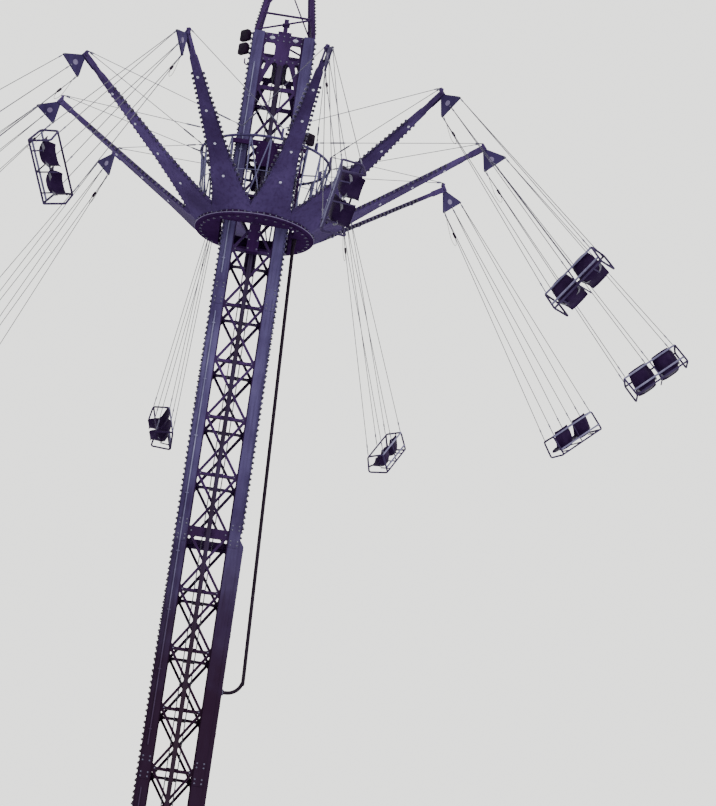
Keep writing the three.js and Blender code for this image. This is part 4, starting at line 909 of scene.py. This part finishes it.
hanger_wire = laid_wire("hanger_wire", "hanger_steel", 640.0, (0.050, 0.045, 0.075), (0.016, 0.012, 0.026))


def pierced_plate():
    """A triangle with cut corners, carried through its thickness, in strips that run round the pin hole."""
    half = np.array(((0.034, 0.030), (0.052, 0.0), (0.046, -0.060), (0.265, -0.400), (0.265, PLATE_FOOT),
                     (0.080, PLATE_FOOT)))
    outer = np.vstack((half, half[::-1] * (-1, 1)))
    t = np.arctan2(outer[:, 1] + 0.02, outer[:, 0])
    hole = PIN_RADIUS * np.stack((np.cos(t), np.sin(t)), -1)
    rows = np.stack((hole, outer, outer, hole))
    depth = np.broadcast_to(PLATE_HALF * np.array((-1, -1, 1, 1))[:, None], (4, 12))
    return sheet_of(np.stack((rows[..., 0], depth, rows[..., 1]), -1), close_u=True, close_v=True).turned()


disc = spun(((0, 0), (0.055, 0), (0.055, 0.0015), (0, 0.0015)), 32)
both = ((0, 1, 0), (0, -1, 0))
discs = disc.placed([(0, PLATE_HALF, DISC_AT), (0, -PLATE_HALF, DISC_AT)], facing(both))
ropes, fittings = [], []
for side in both:
    eyes = [(x, side[1] * PLATE_HALF, EYE_AT) for x in (-ROPE_SPREAD, 0, ROPE_SPREAD)]
    fittings.append(head.placed(eyes, facing(side)))
for x in (-1, 0, 1):
    for v, w in ((BACK_V, 0.0), (FRONT_V, FRONT_W)):
        top = np.array((x * ROPE_SPREAD, 0.0, ROPE_AT))
        foot = np.array((x * (CHAIR_HALF - ROPE_IN), v - TRAIL, w - DROP + ROPE_SEAT))
        run = unit(foot - top)
        axes = facing(run, BACK)
        ropes.append(rod(top, foot, HANGER_ROPE, 8, BACK, 3))
        fittings.append(ferrule.placed([top + run * TOP_SLEEVE, foot - run * FOOT_SLEEVE], axes))
        fittings.append(buckle.scaled(SMALL_BUCKLE).placed(foot - run * FOOT_BUCKLE, axes))
        if (x, v) == (-1, FRONT_V):
            grip_at, wire_end, grip_axes = top + run * GRIP_AT, top + run * WIRE_END, axes
grip = spun(((0, -0.075), (0.017, -0.075), (0.024, -0.062), (0.024, 0.030), (0.016, 0.045), (0.012, 0.075),
             (0, 0.075)), 14)
grips = grip.placed(grip_at, grip_axes) + tube(smooth((*SLACK, wire_end), KNOT_STEPS), WIRE_RADIUS, 8, BACK)
hanger_parts = (("plate", pierced_plate(), plate_paint, False),
                ("disc", discs, (trim_pale[0], "hanger_steel"), False),
                ("ropes", sum(ropes), hanger_wire, True),
                ("fittings", sum(fittings), (zinc[0], "hanger_steel"), True),
                ("grip", grips, (housing_black[0], "hanger_steel"), True))
rise = np.array(UP)
hang_frames = [np.stack((radial[k] * math.cos(SWING) + rise * math.sin(SWING), tangent[k],
                         rise * math.cos(SWING) - radial[k] * math.sin(SWING))) for k in range(ARMS)]
pivots = radial * TIP_R + (0, 0, RIM + TIP_RISE)
for label, at, axes in zip(labels, pivots, hang_frames):
    for name, form, paint, soft in hanger_parts:
        piece(f"hanger_{name}_{label}", form.placed(at, axes), paint, f"swing_{label}", soft=soft,
              stands_for=f"hanger_{label}" if name == "plate" else None)

# Chairs: a bent tube frame with two moulded bucket shells side by side. Each shell is glass-reinforced
# plastic with a trimmed edge, and a webbing belt with a steel buckle lies across its pan.
RAIL_V, RAIL_W, BUMPER_V, BASE_W, BASE_FRONT_V, KEEL_V = -0.275, -0.310, -0.290, -0.430, 0.150, 0.150
BRACE_X, BRACE_V, KEEL_TUBE, BEND_RADIUS, RAIL_SLIM = 0.40, -0.06, 0.014, 0.050, 0.96
SHELL_X, SHELL_HALF, SHELL_WALL, CHEEK_POWER = 0.275, 0.240, 0.012, 3.2
SEAT_LINE = ((-0.212, 0.052), (-0.209, -0.12), (-0.204, -0.25), (-0.168, -0.362), (-0.080, -0.396),
             (0.040, -0.394), (0.130, -0.386), (0.166, -0.398))
CHEEK = np.array((0.050, 0.085, 0.125, 0.150, 0.140, 0.115, 0.070, 0.030))
WIDTH = np.array((0.80, 0.96, 1.0, 1.0, 1.0, 0.97, 0.90, 0.86))
BELT_HALF = ((0.212, -0.105, -0.300), (0.198, -0.070, -0.350), (0.110, -0.045, -0.384))


def rounded(corners):
    """A closed path whose corners are curves: start, corner and end weighted (1-t)^2, 2t(1-t), t^2."""
    start = corners + BEND_RADIUS * unit(np.roll(corners, 1, 0) - corners)
    end = corners + BEND_RADIUS * unit(np.roll(corners, -1, 0) - corners)
    t = np.linspace(0, 1, 7)[None, :, None]
    curve = (1 - t) ** 2 * start[:, None] + 2 * t * (1 - t) * corners[:, None] + t**2 * end[:, None]
    return curve.reshape(-1, 3)


def cross_bars(places):
    """Round tubes straight across the chair, side to side, one at each (back, up) place."""
    return sum(rod((-CHAIR_HALF, v, w), (CHAIR_HALF, v, w), FRAME_TUBE * RAIL_SLIM, 12, UP, 3)
               for v, w in places)


def chair_frame():
    """Two side loops, base bar, lap bar, a keel and its upright, and two braces, in the chair's own axes."""
    form = cross_bars(((BUMPER_V + 0.013, BASE_W + 0.010), (FRONT_V - 0.012, FRONT_W - 0.008)))
    for x in (-CHAIR_HALF, CHAIR_HALF):
        loop = np.array(((x, BACK_V, 0), (x, FRONT_V, FRONT_W), (x, BASE_FRONT_V, BASE_W),
                         (x, BUMPER_V, BASE_W)))
        form = form + tube(rounded(loop), FRAME_TUBE, 12, RIGHT, closed=True)
    low_back = BUMPER_V + 0.012
    for start, end in (((0, BUMPER_V + 0.01, BASE_W + 0.008), (0, KEEL_V, BASE_W + 0.002)),
                       ((0, low_back, BASE_W + 0.012), (0, BACK_V, -0.008)),
                       ((-BRACE_X, low_back, BASE_W + 0.01), (-BRACE_X, BRACE_V, BASE_W + 0.020)),
                       ((BRACE_X, low_back, BASE_W + 0.01), (BRACE_X, BRACE_V, BASE_W + 0.020))):
        form = form + rod(start, end, KEEL_TUBE, 10, RIGHT)
    return form


def bucket():
    """Shell p(u, s): the seat line c(s) pushed towards the sitter by cheek(s)*|u|^3.2, and spread by
    u*width(s)."""
    line = smooth(SEAT_LINE, KNOT_STEPS)
    cheek, wide = (smooth(values[:, None], KNOT_STEPS) for values in (CHEEK, WIDTH))
    run = unit(np.gradient(line, axis=0))
    u = np.sin(np.linspace(-1, 1, 25) * np.pi / 2)
    pushed = cheek * np.abs(u) ** CHEEK_POWER
    back, up = line[:, :1] - run[:, 1:] * pushed, line[:, 1:] + run[:, :1] * pushed
    return np.stack((u * SHELL_HALF * wide, back, up), -1)


def shell_solid():
    """Both faces of the bucket, a wall apart along the normal, joined round the edge as one closed skin."""
    face = bucket()
    rear = face - unit(np.cross(np.gradient(face, axis=0), np.gradient(face, axis=1))) * SHELL_WALL
    form = sheet_of(face) + sheet_of(rear).turned()
    rows, columns = face.shape[:2]
    grid = np.arange(rows * columns).reshape(rows, columns)
    edge = np.concatenate((grid[0, :-1], grid[:-1, -1], grid[-1, :0:-1], grid[:0:-1, 0]))
    ahead, across_wall = np.roll(edge, -1), rows * columns
    wall = np.stack((ahead, ahead + across_wall, edge + across_wall, edge), -1).ravel()
    return Form(form.points, np.concatenate((form.corners, wall)),
                np.append(form.sizes, np.full(len(edge), 4)),
                np.vstack((form.wraps, np.zeros((len(wall), 2)))))


def moulded():
    """Dark gelcoat: soft sheen, chalky fading, scuffs and faint chopped-strand print."""
    finish = Finish("chair_shell", "chair_paint", Coat_Weight=0.01, Coat_Roughness=0.25,
                    Specular_IOR_Level=0.02)
    fade = finish.noise(3.2, 5.0)
    scuff = finish.noise(26.0, 5.0, 0.65, stretch=(1.0, 1.0, 5.0))
    colour = finish.mix(fade.rising(0.4, 2.4), (0.007, 0.0015, 0.015), (0.019, 0.008, 0.034))
    colour = finish.mix(scuff.rising(0.60, 7.0) * 0.5, colour, (0.045, 0.036, 0.065))
    return finish.feed(colour, 0.36 + 0.25 * fade, finish.noise(120.0, 3.0), 0.18, 0.0012)


def webbing():
    """Woven polyester belt: two crossed waves make the weave, with patches of grime."""
    finish = Finish("belt_webbing", "chair_paint")
    where = finish.place(source=FROM_WRAP)
    weft = finish.add("TexWave", {"bands_direction": "X"}, out=1, Vector=where, Scale=60.0)
    warp = finish.add("TexWave", {"bands_direction": "Y"}, out=1, Vector=where, Scale=7.0)
    grime = finish.noise(18.0, 4.0)
    colour = finish.mix((grime * 1.5 - 0.3).held(), (0.045, 0.042, 0.058), (0.105, 0.10, 0.13))
    return finish.feed(colour, 0.75 + 0.15 * grime, weft + warp, 0.5, 0.0008)


shell_paint, belt_black = moulded(), webbing()
frame_paint = weathered("chair_frame", "chair_paint", (0.012, 0.005, 0.024), (0.042, 0.032, 0.074),
                        (0.008, 0.003, 0.015))
rail_paint = weathered("chair_rails", "chair_paint", (0.070, 0.062, 0.120), (0.155, 0.148, 0.235),
                       (0.028, 0.020, 0.046))
belt_ends = np.array(BELT_HALF)
belt_line = smooth(np.vstack((belt_ends * (-1, 1, 1), ((0.0, -0.040, -0.388),), belt_ends[::-1])), KNOT_STEPS)
belt_profile = ((-0.024, 0), (-0.024, 0.003), (0.024, 0.003), (0.024, 0))
belt = carried(belt_profile, belt_line, *across(belt_line, (0.0, -0.25, 1.0)))
clasp = flat_plate(0.034, 0.026, 0.012, 0.006).placed((0, -0.040, -0.386))
pair = [(-SHELL_X, 0, 0), (SHELL_X, 0, 0)]
chair_parts = (("frame", chair_frame(), frame_paint, True),
               ("rails", cross_bars(((BACK_V + 0.003, -0.003), (RAIL_V, RAIL_W))), rail_paint, True),
               ("shells", shell_solid().placed(pair), shell_paint, True),
               ("belts", belt.placed(pair), belt_black, False), ("clasps", clasp.placed(pair), zinc, False))
for label, at, axes in zip(labels, pivots, hang_frames):
    for name, form, paint, soft in chair_parts:
        piece(f"chair_{name}_{label}", form.placed((0.0, -TRAIL, -DROP)).placed(at, axes), paint,
              f"swing_{label}", soft=soft, stands_for=f"chair_{label}" if name == "frame" else None)

# Studio: a pale plain floor, a pale surround and one broad soft light from the upper right, as under a
# bright overcast sky.
FLOOR_REACH, FLOOR_SIDES, FLOOR_Z = 90.0, 96, -0.001
SKY, SKY_STRENGTH = (0.93, 0.93, 0.90, 1.0), 2.2
SUN_ENERGY, SUN_SPREAD, SUN_TURN = 2.2, 0.5, (math.radians(50), 0.0, math.radians(40))


def plain_floor():
    """Pale matt floor with a barely visible mottling."""
    finish = Finish("floor", None)
    mottle = finish.noise(0.6, 3.0)
    return finish.feed(finish.mix(mottle, (0.70, 0.70, 0.73), (0.76, 0.76, 0.79)), 0.8 + 0.1 * mottle)


floor_mesh = bpy.data.meshes.new("floor")
floor_mesh.from_pydata(ring_points(shares(FLOOR_SIDES), FLOOR_REACH, FLOOR_Z).tolist(), [],
                       [tuple(range(FLOOR_SIDES))])
floor_mesh.materials.append(plain_floor()[0])
floor = bpy.data.objects.new("floor", floor_mesh)
bpy.context.scene.collection.objects.link(floor)
surround = bpy.data.worlds.new("surround")
surround.use_nodes = True
sky = surround.node_tree.nodes["Background"]
sky.inputs["Color"].default_value, sky.inputs["Strength"].default_value = SKY, SKY_STRENGTH
bpy.context.scene.world = surround
sun_data = bpy.data.lights.new("soft_light", "SUN")
sun_data.energy, sun_data.angle = SUN_ENERGY, SUN_SPREAD
sun = bpy.data.objects.new("soft_light", sun_data)
sun.rotation_euler = SUN_TURN
bpy.context.scene.collection.objects.link(sun)
